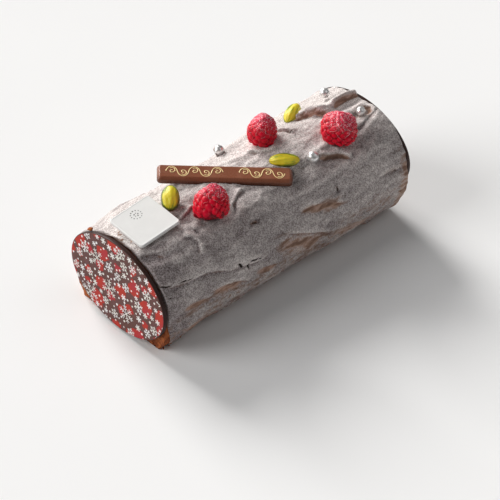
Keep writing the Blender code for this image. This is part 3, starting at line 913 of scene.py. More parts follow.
STROKES = (
    Stroke(73.5, -5, 34, 6, 1.7, 3, 1.6), Stroke(74.5, 1, 26, 5.5, -2.2, 3),
    Stroke(52.5, -14, 28, 7.5, 1, 38, 1), Stroke(54.5, -6, 20, 5, -1.1, 40),
    Stroke(77.5, 11, 13, 11, -2.6, 20, 0, 0.35), Stroke(77.5, 18.5, 24, 5, 1.4, -20),
    Stroke(46.5, 25.5, 22, 9.5, -2.4, 12, 0, 0.3), Stroke(44.5, 17, 26, 5, 1, 8, 1),
    Stroke(-65.5, 37, 34, 9, 0.9, 8, 1), Stroke(-37.5, 42, 36, 9, 0.9, 12, 1),
    Stroke(-41.5, 57, 30, 7, -1, 6, 0, 0.55), Stroke(-62.5, 56, 22, 6, -0.8, 0, 0, 0.5),
    Stroke(8.5, 51, 26, 13, -1.1, 6, 0, 0.3), Stroke(26.5, 42, 34, 7, -1, 10, 0, 0.5),
    Stroke(75.5, 49, 18, 5, -1.2, 6, 0, 0.3), Stroke(-19.5, 15.5, 18, 7, -1.4, 118),
    Stroke(-13.5, 22.5, 22, 12, 1.3, 30), Stroke(-59.5, 20, 34, 11, 1.1, 14),
    Stroke(-52.5, 31, 20, 9, 0.9, 70), Stroke(66.5, 33, 40, 8, 0.8, -6), Stroke(70.5, -29, 62, 40, -2, 4),
    Stroke(82.5, 24, 24, 30, 1.2), Stroke(-81.5, -27, 18, 30, -2.4, 6), Stroke(4.5, -12, 40, 8, 0.9, 12, 1),
    Stroke(-61.5, -25, 44, 10, 1.2, -6), Stroke(-29.5, -40, 50, 9, -1.1, 5),
    Stroke(22.5, -33, 42, 11, 1.3, -8), Stroke(52.5, -45, 36, 8, -1.2, 7, 0, 0.4),
    Stroke(-57.5, -53, 30, 9, -1, -4, 0, 0.5), Stroke(16.5, -56, 40, 8, -0.9, 4, 0, 0.5),
    # finer hollows and humps on the side that shows most
    Stroke(-75.5, 20.5, 15, 6.5, -1, 28), Stroke(-70, 26.5, 17, 8, 0.9, 20, 0.6),
    Stroke(-54.5, 25, 14, 6, -0.8, 74), Stroke(-46.5, 20, 16, 7, 0.8, 60, 0.8),
    Stroke(-60.5, 30, 14, 6, -0.6, 10), Stroke(-35, 27, 26, 9, 0.5, -16, 0.8),
    Stroke(-30, 35.5, 24, 7, -0.6, 8), Stroke(-66, 53.5, 18, 5.5, -0.9, 10, 0, 0.85),
    Stroke(-43, 55.5, 24, 7.5, -1, 18, 0, 0.95), Stroke(-17, 57.5, 18, 5, -0.6, 14, 0, 0.8),
    Stroke(9, 55.5, 40, 14, -0.5, 24, 0, 0.75), Stroke(26, 43.5, 30, 6, -0.7, 22, 0, 0.85),
    Stroke(-7, 26, 20, 6, -0.5, 25), Stroke(8, 20.5, 32, 5.5, 0.7, 8, 0.8), Stroke(22, 31, 44, 5, 0.5, 5, 1),
    Stroke(60, 41, 36, 6, 0.4, 6, 0.8), Stroke(14, 9, 18, 5, 0.5, 38), Stroke(-38.5, 6, 18, 5, 0.6, 40, 0.6),
    Stroke(-60, 68, 34, 7, 0.3, 14, 0, 0.8), Stroke(45, 67.5, 40, 8, 0.2, 16, 0, 0.75),
    Stroke(-17, 31, 7, 3, -0.9, 10, 0, 0.5), Stroke(38, 40, 6, 3.5, -0.9, 70, 0, 0.4),
    Stroke(-12, 66, 30, 5, 0.5, 16), Stroke(30, 62.5, 4, 12, 0.9, 10),
)
LAPS = (
    Lap(((67, -5), (73.5, -5.5), (79, -6), (84, -5), (89, -2.5)), 2.25, 2, 4, 0.75, 0.5),
    Lap(((45, -13.5), (51.5, -11), (54.5, -9.5), (58, -7), (61.5, -3), (64, 1.5)), 2.25, 1.3, 3.6, 0.7, 0.55),
    Lap(((36, 19), (39.5, 20), (43.5, 22.5), (47.5, 24), (51, 26.5), (55, 31.5)), 2.55, 1.6, 4, 0.7, 0.5),
    Lap(((74, 8), (77, 6.5), (81.5, 7), (84.5, 11), (83, 14.5), (78, 15.5)), 1.35, 1.4, 2.4, 0.7, 0.45),
    Lap(((88, 13.5), (82.5, 15.5), (77, 17), (70, 19), (64, 20)), -1.05, 1.3, 3.2),
    Lap(((35.5, -13.5), (37, -10.5), (38.5, -6.5), (38.5, -2)), 1.35, 1, 2.4, 0.35),
    Lap(((11, -12), (15, -9), (18, -5.5), (22, -2.5), (27, -1)), 1.2, 1, 2.1, 0.25),
    Lap(((-87, 33.5), (-84, 34), (-77.5, 36.5), (-67, 38.5), (-55.5, 40), (-48.5, 42), (-41.5, 45),
         (-37, 45.5), (-29, 47), (-21.5, 48.5), (-14, 49)), 1.1, 1.3, 4.8, 0.25, 0.12),
    Lap(((-60, 50), (-49.5, 50.5), (-40.5, 52), (-31.5, 56.5), (-27, 60)), 0.75, 1, 2.4, 0.5),
    Lap(((-9.5, 52), (-5.5, 47), (1, 44.5), (11, 49), (22.5, 55), (31, 62)), 1.05, 1, 2.8, 0.5, 0.06),
    Lap(((9, 37.5), (17.5, 38.5), (24.5, 40.5), (31.5, 43.5), (41.5, 49.5)), 0.9, 0.8, 3.2, 0.35),
    Lap(((64, 47), (67.5, 47.5), (73, 48.5), (77.5, 49), (83, 49.5)), 1.05, 0.8, 3.2, 0.25, 0.25),
    Lap(((-24.5, 22.5), (-21, 16.5), (-14.5, 12.5), (-8, 10.5)), 1.2, 1.4, 2.9, 0.3),
    Lap(((-84, 14.5), (-79, 16), (-73.5, 19.5), (-70.5, 25)), 1.2, 1.3, 2.9, 0.2),
    Lap(((-57.5, 18.5), (-52.5, 21.5), (-51, 26), (-54.5, 32.5)), 1.05, 1.1, 2.9, 0.15),
    Lap(((-50.5, 8.5), (-44.5, 6.5), (-38, 4.5)), 0.9, 0.8, 2.4, 0.2),
    Lap(((20, 73), (34, 70), (48, 72), (60, 73.5)), 0.75, 0.8, 2.4, 0.4),
    # the far side
    Lap(((-70, -34), (-52, -30), (-36, -33), (-20, -30)), 1.65, -1.3, -4.8, 0.4, 0.12),
    Lap(((-8, -47), (10, -42), (30, -45), (50, -38)), 1.65, -1.4, -4.8, 0.45, 0.12),
    Lap(((30, -21), (44, -26), (60, -24), (74, -28)), 1.5, -1.3, -4, 0.3),
    Lap(((-50, -62), (-30, -58), (-8, -61)), 1.2, -1.1, -4, 0.5),
    Lap(((-40, -16), (-28, -20), (-14, -19)), 1.2, -1.1, -3.2, 0.2),
)
TEARS = (
    Tear(-81, 35.5, 8, 0.9, 16), Tear(-68.5, 38, 9, 0.5, 12), Tear(-35, 46, 5, 1.5, 40),
    Tear(-30, 48.5, 3.5, 1.4, 70), Tear(-26.5, 46.5, 6.5, 1.1, 4), Tear(-22, 48, 3, 0.7, 10),
    Tear(63.5, -7, 4.5, 1, 0), Tear(38, 40.5, 3.5, 0.9, 75), Tear(73, 48.5, 3.5, 0.7, 8),
    Tear(77.5, 49.5, 3.5, 1, 4), Tear(81, 49.5, 2, 0.8, 6), Tear(-16.5, 31.5, 3.5, 0.9, 14),
    Tear(-80, 41.5, 3.5, 0.5, 10), Tear(38, -4.5, 3.5, 0.7, 20), Tear(-53, 9, 5, 0.8, -14),
    Tear(-46, -31.5, 9, 0.9, 4), Tear(20, -44, 7, 1, -6), Tear(-20, -59, 6, 0.9, 8),
)


@dataclass
class CreamCoat:
    """The cream, open below, spread with a knife and pressed in under each topping."""

    form: LogForm = field(default_factory=LogForm)
    near_points: int = 186         # round the coat on the side that shows most
    far_points: int = 58
    inner_points: int = 16
    rings: int = 372
    near_turn: float = math.radians(-40.0)
    inset: float = 0.0036
    foot_inset: float = 0.0013
    foot_bulge: float = 0.0027
    end_rounding: float = 0.0005

    def turn_shares(self) -> np.ndarray:
        """Places round the coat from -1 to 1, close together on the near side."""
        edge = self.near_turn / math.radians(133.0)
        far = np.linspace(-1.0, edge, self.far_points, endpoint=False)
        return np.concatenate([far, np.linspace(edge, 1.0, self.near_points)])

    def length_shares(self) -> np.ndarray:
        """Places along the coat from 0 to 1, close together at its two ends."""
        tight = np.array([0.0, 0.06, 0.18, 0.36, 0.60, 0.90, 1.30]) * MM / LENGTH
        middle = np.linspace(1.8 * MM / LENGTH, 1.0 - 1.8 * MM / LENGTH, self.rings - 2 * len(tight))
        return np.concatenate([tight, middle, 1.0 - tight[::-1]])

    def relief(self, x: np.ndarray, run: np.ndarray) -> tuple[np.ndarray, np.ndarray, np.ndarray]:
        """Height of the uneven surface, brown that is partly painted shade, and near-black painted shade at each place.
        """
        height = rough(x * 38.0, run * 95.0, 3.7) * 0.0012 + rough(x * 110.0, run * 230.0, 9.1) * 0.00055
        height += rough(x * 250.0, run * 380.0, 1.3) * 0.00032 + rough(x * 620.0, run * 700.0, 5.2) * 0.00014
        bare_and_shade = np.zeros(x.shape)
        for stroke in STROKES:
            shape = stroke.shape(x, run)
            height += stroke.rise * MM * shape
            bare_and_shade = np.maximum(bare_and_shade, stroke.bare_and_shade * shape)
        # painted shade: near-black along the laps' creases and in the splits, which also turn browner
        crease_shade = np.zeros(x.shape)
        for lap in LAPS:
            rise, brown, line = lap.shape(x, run)
            height += rise
            bare_and_shade, crease_shade = np.maximum(bare_and_shade, brown), np.maximum(crease_shade, line)
        for split in TEARS:
            shape = split.shape(x, run)
            height -= split.depth * MM * shape
            crease_shade, bare_and_shade = np.maximum(crease_shade, shape), np.maximum(bare_and_shade, 0.5 * shape)
        crumbly = ease((bare_and_shade - 0.25) / 0.4)
        height += crumbly * (rough(x * 900.0, run * 900.0, 7.7) * 0.00022 + rough(x * 380.0, run * 380.0, 2.2) * 0.0003)
        return height, bare_and_shade, crease_shade

    def under_ovals(self, section: Section, x: np.ndarray, turn: np.ndarray, reach: np.ndarray) -> np.ndarray:
        """Press the coat in under berries, nuts and balls and raise a slight lip round them."""
        for oval in BERRIES + NUTS + BALLS:
            inverse = np.array(oval.place().inverted())
            size = np.array(oval.size)
            middle = np.stack([x, np.zeros_like(x), np.broadcast_to(section.waist, x.shape)], axis=-1)
            ray = np.stack([np.zeros_like(x), -np.sin(turn), np.cos(turn)], axis=-1)
            origin = (middle @ inverse[:3, :3].T + inverse[:3, 3]) / size
            toward = (ray @ inverse[:3, :3].T) / size
            point = origin + toward * reach[..., None]
            outside = np.linalg.norm(point, axis=-1)
            lip = 0.35 * MM * np.exp(-((outside - 1.08) / 0.12) ** 2)
            a, b = (toward ** 2).sum(-1), (origin * toward).sum(-1)
            root = b * b - a * ((origin ** 2).sum(-1) - 1.04)
            entry = (-b - np.sqrt(np.maximum(root, 0.0))) / a
            reach = np.where((root > 0.0) & (entry < reach + lip), np.minimum(entry, reach + lip), reach + lip)
        return reach

    def under_slabs(self, section: Section, x: np.ndarray, turn: np.ndarray, reach: np.ndarray) -> np.ndarray:
        """Bed the plaque and the finger: cream rises to them near their middle and never shows through."""
        for slab in (PLAQUE, FINGER):
            inverse = np.array(slab.place().inverted())
            middle = np.stack([x, np.zeros_like(x), np.broadcast_to(section.waist, x.shape)], axis=-1)
            ray = np.stack([np.zeros_like(x), -np.sin(turn), np.cos(turn)], axis=-1)
            origin = middle @ inverse[:3, :3].T + inverse[:3, 3]
            toward = ray @ inverse[:3, :3].T
            down = toward[..., 2]
            bed = (-slab.thickness - 0.00005 - origin[..., 2]) / np.where(np.abs(down) < 0.05, 0.05, down)
            there = origin + toward * bed[..., None]
            outside = np.maximum(np.abs(there[..., 0]) - slab.length / 2.0, np.abs(there[..., 1]) - slab.width / 2.0)
            facing = (down > 0.3) & (bed > 0.0)
            inside = facing & (outside < 0.0003)
            rise = ease(1.0 - (outside + 0.0012) / 0.0022) * ease(1.0 - (bed - reach) / 0.0026)
            raised = reach + np.clip(bed - reach, 0.0, None) * rise
            reach = np.where(facing, raised, reach)
            reach = np.where(inside, np.minimum(reach, bed), reach)
        return reach

    def outer(self) -> tuple[np.ndarray, np.ndarray, np.ndarray, np.ndarray]:
        """Points of the outer face, ring by ring, with brown partly painted shade, near-black painted shade, and pale
        dust with painted light and shade.
        """
        share, along = np.meshgrid(self.turn_shares(), self.length_shares())
        start, end = self.form.front_edge(share[0]), self.form.back_edge(share[0])
        x = start + (end - start) * along
        section = self.form.section(x)
        turn = section.foot_turn() * share
        run = section.run(turn)
        height, bare_and_shade, crease_shade = self.relief(x, run)
        near_foot = ease(4.0 * (1.0 - np.abs(share)))
        wave = rough(x * 150.0, share * 1.5, 7.1) * 0.0011 + rough(x * 480.0, share * 4.0, 3.6) * 0.0007
        reach = section.reach(turn) + height * near_foot
        reach += np.clip(wave, -0.0005, 0.0016) * ease((np.abs(share) - 0.78) / 0.14)
        reach = self.under_slabs(section, x, turn, reach)
        reach = self.under_ovals(section, x, turn, reach)
        edge = np.minimum(x - start, end - x)
        reach -= self.end_rounding * (1.0 - np.sqrt(np.clip(1.0 - (1.0 - edge / (2.0 * self.end_rounding)).clip(0.0, 1.0) ** 2,
                                                            0.0, 1.0)))
        points = section.point(x, turn, reach)
        ragged = rough(x * 300.0, share * 2.0, 4.4) * 0.5 + rough(x * 900.0, share * 2.0, 6.1) * 0.3
        foot = ease((0.0075 + 0.004 * ragged - points[..., 2]) / 0.005)
        bare_and_shade = np.maximum(bare_and_shade, 0.75 * foot)
        mottle = rough(x * 420.0, run * 420.0, 2.9)
        low = ease((run - 0.046) / 0.02) + 1.2 * ease((x - 0.078) / 0.006) * ease((run - 0.030) / 0.02)
        bare_and_shade = np.maximum(bare_and_shade, np.clip((0.42 + 0.26 * mottle) * low, 0.0, 0.7))
        by_plate = ease((-0.066 - x) / 0.010)
        spotted = by_plate * ease((0.016 - run) / 0.006) * ease((run + 0.014) / 0.006)
        bare_and_shade = np.maximum(bare_and_shade, 0.95 * ease((mottle - 0.16) / 0.25) * spotted)
        hollow = height - self.blurred(height)
        # painted shade: places lower than their neighbours turn browner
        bare_and_shade = np.clip(bare_and_shade + ease(-hollow / 0.0007 - 0.2) * 0.25, 0.0, 1.0)
        broad = rough(x * 45.0, run * 60.0, 8.8) * 0.32 + rough(x * 150.0, run * 170.0, 1.8) * 0.16
        # painted shade in hollows and painted light on humps; also paler towards the back end
        dust = 0.38 + broad + np.clip(hollow / 0.0007, -0.38, 0.38) + 0.16 * ease((x + 0.08) / 0.14)
        # painted light: paler along the crown and down the top of the far side
        crest_light = ease((0.012 - run) / 0.024) * (1.0 - 0.95 * ease((-0.020 - run) / 0.022))
        # paler where the crown is spotted by the plate, and darker on the near side beside the plate
        dust = dust + 0.35 * spotted - 0.34 * by_plate * ease((run - 0.014) / 0.008)
        return points, bare_and_shade, crease_shade, np.clip(dust + 0.62 * crest_light, 0.0, 1.0)

    @staticmethod
    def blurred(values: np.ndarray, passes: int = 10) -> np.ndarray:
        """Neighbouring values of a grid averaged a few times."""
        for _ in range(passes):
            padded = np.pad(values, 1, mode="edge")
            values = (padded[:-2, 1:-1] + padded[2:, 1:-1] + padded[1:-1, :-2] + padded[1:-1, 2:] + values) / 5.0
        return values

    def inner(self) -> np.ndarray:
        """Points of the inner face, against the sponge, ring by ring."""
        share, along = np.meshgrid(np.linspace(1.0, -1.0, self.inner_points), self.length_shares())
        start, end = self.form.front_edge(share[0]), self.form.back_edge(share[0])
        x = start + (end - start) * along
        section = self.form.section(x, self.inset, self.foot_inset)
        turn = section.foot_turn() * share
        low = ease((np.abs(share) - 0.64) / 0.16) * ease((1.0 - np.abs(share)) / 0.14)
        reach = section.reach(turn) + GAP + self.foot_bulge * low * self.form.flare(x)
        return section.point(x, turn, reach)

    def build(self, material: bpy.types.Material) -> bpy.types.Object:
        """Build the coat as a closed shell and dress it."""
        outer, bare_and_shade, crease_shade, dust = self.outer()
        inner = self.inner()
        outer[..., 2] = np.maximum(outer[..., 2], 0.0)
        inner[..., 2] = np.maximum(inner[..., 2], 0.0)
        rings = np.concatenate([outer, inner], axis=1)
        count, around, shown = rings.shape[0], rings.shape[1], outer.shape[1]
        faces = []
        for ring in range(count - 1):
            base = ring * around
            faces += [(base + index, base + (index + 1) % around, base + around + (index + 1) % around,
                       base + around + index) for index in range(around)]
        for base in (0, (count - 1) * around):
            partner = [shown + round((shown - 1 - index) / (shown - 1) * (self.inner_points - 1))
                       for index in range(shown)]
            for index in range(shown - 1):
                corners = [index, index + 1, partner[index + 1], partner[index]]
                faces.append(tuple(base + corner for corner in dict.fromkeys(corners)))
        mesh = skin_mesh(rings.reshape(-1, 3), faces, 80.0)
        pad = np.zeros(inner.shape[:2])
        # The brown and near-black shares carry painted shade, the pale share painted light and shade besides real dust.
        store(mesh, "bare_and_shade", np.concatenate([bare_and_shade, pad + 0.8], axis=1))
        store(mesh, "crease_shade", np.concatenate([crease_shade, pad], axis=1))
        store(mesh, "dust", np.concatenate([dust, pad], axis=1))
        return dress(new_piece("cream_coat", mesh, material), Slot.CREAM, "cream")


@dataclass
class SpongeCore:
    """The cake itself, whose crumb shows round the foot of the front plate."""

    form: LogForm = field(default_factory=LogForm)
    points: int = 150
    rings: int = 90
    face_rings: int = 26
    back: float = 0.0867
    inset: float = 0.0036
    foot_inset: float = 0.0013
    foot_bulge: float = 0.0027
    corner_wear: float = 0.0030
    crumb: float = 0.0006

    def build(self, material: bpy.types.Material) -> bpy.types.Object:
        """Build the core with a crumbly skin and dress it."""
        shares = np.linspace(-1.0, 1.0, self.points)
        first = self.form.section(np.array(self.form.flare_start), self.inset, self.foot_inset)
        turn = first.foot_turn() * shares
        low = ease((np.abs(shares) - 0.64) / 0.16) * ease((1.0 - np.abs(shares)) / 0.14)
        face = first.point(0.0, turn, first.reach(turn) + self.foot_bulge * low)
        near_foot = 1.0 - ease(face[:, 2] / 0.012)
        start = (self.form.behind_plate(face[:, 2]) + GAP
                 + self.corner_wear * near_foot * ease((-face[:, 1] - 0.024) / 0.006))
        along = np.linspace(0.0, 1.0, self.rings)[:, None] ** 1.6
        x = start + (self.back - start) * along
        section = self.form.section(x, self.inset, self.foot_inset)
        turn = section.foot_turn() * shares
        reach = section.reach(turn) + self.foot_bulge * low * self.form.flare(x)
        body = section.point(x, turn, reach)
        grit = (rough(body[..., 0] * 420.0, body[..., 1] * 420.0, body[..., 2] * 420.0)
                + 0.6 * rough(body[..., 0] * 1000.0, body[..., 1] * 1000.0, body[..., 2] * 1000.0))
        body = section.point(x, turn, reach + self.crumb * (grit - 0.35) * ease((self.form.flare(x) - 0.2) / 0.3))
        body[..., 2] = np.maximum(body[..., 2], 0.0)
        body[:, 0, 2] = body[:, -1, 2] = 0.0
        middle = np.array([self.form.behind_plate(self.form.front_waist) + GAP, 0.0, self.form.front_waist])
        spread = (1.0 - np.linspace(0.06, 1.0, self.face_rings)[::-1][1:, None, None])
        front = body[0] + (middle - body[0]) * spread
        pits = rough(front[..., 1] * 500.0, front[..., 2] * 500.0, 0.5 + 0.0 * front[..., 0])
        front[..., 0] += self.crumb * np.clip(0.4 + pits, 0.0, 1.5) * (1.0 - spread[..., 0])
        rings = np.concatenate([front[::-1], body])
        mesh = lofted(rings, first_tip=middle)
        return dress(new_piece("sponge_core", mesh, material), Slot.SPONGE, "sponge")


@dataclass
class EndPlate:
    """A thin oval plate of chocolate, with softened rims, standing on its local X axis."""

    node: str
    name: str
    lean: float = 0.0
    width: float = 0.0754
    height: float = 0.0530
    thickness: float = 0.0024
    softening: float = 0.0004
    facets: int = 160

    def place(self) -> Matrix:
        """Matrix that puts the middle of the plate's outer or inner face in place."""
        low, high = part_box(self.node)
        middle = (low + high) / 2.0
        turn = Matrix.Rotation(self.lean, 4, "Y")
        back = turn.to_3x3() @ Vector((-self.thickness / 2.0, 0.0, 0.0))
        return Matrix.Translation(middle + back) @ turn

    def build(self, material: bpy.types.Material) -> bpy.types.Object:
        """Build the plate and dress it."""
        turns = np.linspace(0.0, 2.0 * math.pi, self.facets, endpoint=False)
        bends = np.linspace(0.0, math.pi / 2.0, 4)
        profile = [(self.softening * (1.0 - math.cos(bend)), self.softening * (1.0 - math.sin(bend))) for bend in bends]
        profile += [(self.thickness - depth, inset) for depth, inset in profile[::-1]]
        face = [(0.0, inset) for inset in (0.026, 0.020, 0.014, 0.008, 0.003)]
        profile = face + profile + [(self.thickness - depth, inset) for depth, inset in face[::-1]]
        rings = np.array([[(depth, (self.width / 2.0 - inset) * math.cos(turn),
                            (self.height / 2.0 - inset) * math.sin(turn)) for turn in turns]
                          for depth, inset in profile])
        mesh = lofted(rings, smooth_angle=50.0)
        # painted shade: the plate's whole rim is marked to be darkened
        store(mesh, "rim", np.repeat([1.0 if 0.0 < depth < self.thickness else 0.0 for depth, _ in profile], self.facets))
        return dress(new_piece(self.name, moved(mesh, self.place()), material), Slot.DARK, self.node)


class PrintLayer(Enum):
    """What the front plate's print is made of, from the chocolate outwards."""

    BLOBS = "print_red_blobs"
    FLAKES = "print_snowflakes"


@dataclass
class PlatePrint:
    """A common winter pattern of white flakes over red blobs, printed on the front plate."""

    plate: EndPlate
    margin: float = 0.00050
    thickness: float = 0.00006
    clip_facets: int = 72

    def field(self) -> bpy.types.Mesh:
        """A flat oval a little larger than the plate, facing out, to scatter the print on."""
        mesh = bpy.data.meshes.new("field")
        turns = [2.0 * math.pi * step / 48 for step in range(48)]
        mesh.from_pydata([(self.plate.width * 0.55 * math.cos(turn), self.plate.height * 0.56 * math.sin(turn), 0.0)
                          for turn in turns], [], [tuple(range(48))])
        return mesh

    def flake(self, plan: Planter, long: float, bar: float, sides: Sequence[tuple[float, float]]) -> bpy.types.NodeSocket:
        """A six-armed flake: each arm a bar with pairs of side branches.

        Args:
            plan: The tree to add it to.
            long: Length of an arm.
            bar: Width of a bar.
            sides: Where on the arm each pair of branches starts and how long it is, as shares of the arm.

        Returns:
            The flake's geometry.
        """
        parts = []
        bars = [(long, 0.0, long / 2.0, 0.0)]
        for place, share in sides:
            reach = long * share
            for turn in (-1.0, 1.0):
                angle = math.radians(55.0) * turn
                bars.append((reach, angle, long * place + math.cos(angle) * reach / 2.0, math.sin(angle) * reach / 2.0))
        for length, angle, east, north in bars:
            cube = plan.add("GeometryNodeMeshCube", {"Size": (length, bar, self.thickness)}).outputs[0]
            parts.append(plan.add("GeometryNodeTransform", {"Geometry": cube, "Translation": (east, north, 0.0),
                                                            "Rotation": (0.0, 0.0, angle)}).outputs[0])
        arm = plan.add("GeometryNodeJoinGeometry", {0: parts}).outputs[0]
        ring = plan.add("GeometryNodeMeshCircle", {"Vertices": 6, "Radius": 0.00001}).outputs[0]
        number = plan.add("GeometryNodeInputIndex").outputs[0]
        turn = plan.vector(z=plan.calc("MULTIPLY", number, math.pi / 3.0))
        return plan.add("GeometryNodeRealizeInstances", {0: plan.scatter(ring, arm, 1.0, turn)}).outputs[0]

    def points(self, plan: Planter, spacing: float, seed: int,
               clear: Sequence[tuple[bpy.types.NodeSocket, float]] = ()) -> bpy.types.NodeSocket:
        """Scatter points over the field, none closer than spacing and each clear of what is there.

        Args:
            plan: The tree to add them to.
            spacing: The least distance between two points.
            seed: Fixed seed.
            clear: Points already there and the distance to keep from them.

        Returns:
            The points.
        """
        inputs = {"Mesh": plan.carrier, "Distance Min": plan.size(f"Spacing {seed}", spacing),
                  "Density Max": 3.0 / spacing ** 2, "Seed": seed}
        made = plan.add("GeometryNodeDistributePointsOnFaces", inputs, distribute_method="POISSON").outputs[0]
        for taken, room in clear:
            inputs = {"Geometry": taken}
            near = plan.add("GeometryNodeProximity", inputs, target_element="POINTS").outputs["Distance"]
            close = plan.add("FunctionNodeCompare", {0: near, 1: room}, operation="LESS_THAN", data_type="FLOAT")
            made = plan.add("GeometryNodeDeleteGeometry", {0: made, 1: close.outputs[0]}, domain="POINT").outputs[0]
        return made

    def stamp(self, plan: Planter, points: bpy.types.NodeSocket, shape: bpy.types.NodeSocket, seed: int, low: float,
              high: float, lift: float) -> bpy.types.NodeSocket:
        """Put a shape on points with random turns and sizes."""
        raised = plan.add("GeometryNodeSetPosition", {"Geometry": points, "Offset": (0.0, 0.0, lift)}).outputs[0]
        size = plan.chance(low, high, seed + 40)
        turn = plan.vector(z=plan.chance(0.0, 6.283, seed + 80))
        return plan.scatter(raised, shape, plan.vector(size, size, 1.0), turn)

    def flakes(self, plan: Planter) -> bpy.types.NodeSocket:
        """White flakes of three sizes and small dots between them."""
        red = self.points(plan, 0.0116, 3)
        first = self.points(plan, 0.0130, 5, ((red, 0.0055),))
        second = self.points(plan, 0.0062, 8, ((first, 0.0080), (red, 0.0048)))
        third = self.points(plan, 0.0042, 13, ((first, 0.0066), (second, 0.0046), (red, 0.0030)))
        fourth = self.points(plan, 0.0026, 21, ((first, 0.0060), (second, 0.0036), (third, 0.0025), (red, 0.0022)))
        dot = plan.add("GeometryNodeMeshCylinder", {"Vertices": 8, "Radius": 0.00062, "Depth": self.thickness}).outputs[0]
        large = self.flake(plan, 0.0062, 0.00044, ((0.40, 0.26), (0.66, 0.30)))
        middling = self.flake(plan, 0.0032, 0.00046, ((0.55, 0.34),))
        small = self.flake(plan, 0.0017, 0.00060, ())
        parts = [self.stamp(plan, first, large, 5, 0.85, 1.05, 0.00010),
                 self.stamp(plan, second, middling, 8, 0.8, 1.15, 0.00008),
                 self.stamp(plan, third, small, 13, 0.8, 1.2, 0.00006),
                 self.stamp(plan, fourth, dot, 21, 0.7, 1.3, 0.00004)]
        return plan.add("GeometryNodeJoinGeometry", {0: parts}).outputs[0]

    def blobs(self, plan: Planter) -> bpy.types.NodeSocket:
        """Red blobs with wandering outlines."""
        shape = plan.add("GeometryNodeMeshCylinder", {"Vertices": 36, "Radius": 0.0046, "Depth": self.thickness},
                         fill_type="NGON").outputs[0]
        first = self.points(plan, 0.0116, 3)
        second = self.points(plan, 0.0072, 17, ((first, 0.0078),))
        large = self.stamp(plan, first, shape, 3, 0.95, 1.25, 0.0)
        small = self.stamp(plan, second, shape, 17, 0.50, 0.72, -0.00001)
        both = plan.add("GeometryNodeJoinGeometry", {0: [large, small]}).outputs[0]
        both = plan.add("GeometryNodeRealizeInstances", {0: both}).outputs[0]
        place = plan.add("GeometryNodeInputPosition").outputs[0]
        flat = plan.add("ShaderNodeVectorMath", {0: place, 1: (1.0, 1.0, 0.0)}, operation="MULTIPLY").outputs[0]
        cloud = plan.add("ShaderNodeTexNoise", {"Vector": flat, "Scale": 330.0, "Detail": 1.5}).outputs["Color"]
        push = plan.add("ShaderNodeVectorMath", {0: cloud, 1: (0.5, 0.5, 0.5)}, operation="SUBTRACT").outputs[0]
        push = plan.add("ShaderNodeVectorMath", {0: push, 1: (0.0065, 0.0065, 0.0)}, operation="MULTIPLY").outputs[0]
        return plan.add("GeometryNodeSetPosition", {"Geometry": both, "Offset": push}).outputs[0]

    def trimmed(self, mesh: bpy.types.Mesh) -> bpy.types.Mesh:
        """The same print, cut off where the plate's face ends."""
        work = bmesh.new()
        work.from_mesh(mesh)
        wide, tall = self.plate.width / 2.0 - self.margin, self.plate.height / 2.0 - self.margin
        for step in range(self.clip_facets):
            turn = 2.0 * math.pi * step / self.clip_facets
            normal = Vector((math.cos(turn) / wide, math.sin(turn) / tall, 0.0)).normalized()
            rim = Vector((wide * math.cos(turn), tall * math.sin(turn), 0.0))
            cut = bmesh.ops.bisect_plane(work, geom=work.verts[:] + work.edges[:] + work.faces[:], dist=1e-7,
                                         plane_co=rim, plane_no=normal, clear_outer=True)
            edges = [item for item in cut["geom_cut"] if isinstance(item, bmesh.types.BMEdge) and item.is_boundary]
            if edges:
                bmesh.ops.holes_fill(work, edges=edges, sides=0)
        work.to_mesh(mesh)
        work.free()
        mesh.shade_flat()
        return mesh

    def build(self, layer: PrintLayer, material: bpy.types.Material) -> bpy.types.Object:
        """Build one layer of the print and dress it."""
        plan = Planter(layer.value)
        shapes = self.flakes(plan) if layer is PrintLayer.FLAKES else self.blobs(plan)
        mesh = self.trimmed(plan.grow(shapes, material, self.field()))
        out = Matrix(((0, 0, -1, 0), (1, 0, 0, 0), (0, 1, 0, 0), (0, 0, 0, 1)))
        lift = Matrix.Translation((-self.thickness / 2.0 - 0.00002, 0.0, 0.0))
        mesh.transform(self.plate.place() @ lift @ out)
        work = bmesh.new()
        work.from_mesh(mesh)
        bmesh.ops.recalc_face_normals(work, faces=work.faces)
        work.to_mesh(mesh)
        work.free()
        return dress(new_piece(layer.value, mesh, material))


def rounded_rings(length: float, width: float, corner: float, facets: int,
                  layers: Sequence[tuple[float, float]]) -> np.ndarray:
    """Rings of a rectangle with rounded corners.

    Args:
        length: Its size along X.
        width: Its size along Y.
        corner: Radius of its corners.
        facets: Facets in each corner.
        layers: Height and inset of each ring.

    Returns:
        Rings by points by coordinates.
    """
    rings = []
    for height, inset in layers:
        radius = max(corner - inset, 0.3 * corner)
        ring = []
        for quarter, (side_x, side_y) in enumerate(((1, 1), (-1, 1), (-1, -1), (1, -1))):
            middle_x, middle_y = side_x * (length / 2.0 - inset - radius), side_y * (width / 2.0 - inset - radius)
            for step in range(facets + 1):
                turn = math.pi / 2.0 * (quarter + step / facets)
                ring.append((middle_x + radius * math.cos(turn), middle_y + radius * math.sin(turn), height))
        rings.append(ring)
    return np.array(rings)


def rounded_edge(height: float, radius: float, drop: float, steps: int = 5) -> list[tuple[float, float]]:
    """Heights and insets of a rounded upper edge, from its side to its top.

    Args:
        height: Height of the top.
        radius: How far the edge draws in.
        drop: How far below the top the edge starts.
        steps: Rings in the edge.

    Returns:
        The layers.
    """
    bends = [math.pi / 2.0 * step / (steps - 1) for step in range(steps)]
    return [(height - drop * (1.0 - math.sin(bend)), radius * (1.0 - math.cos(bend))) for bend in bends]


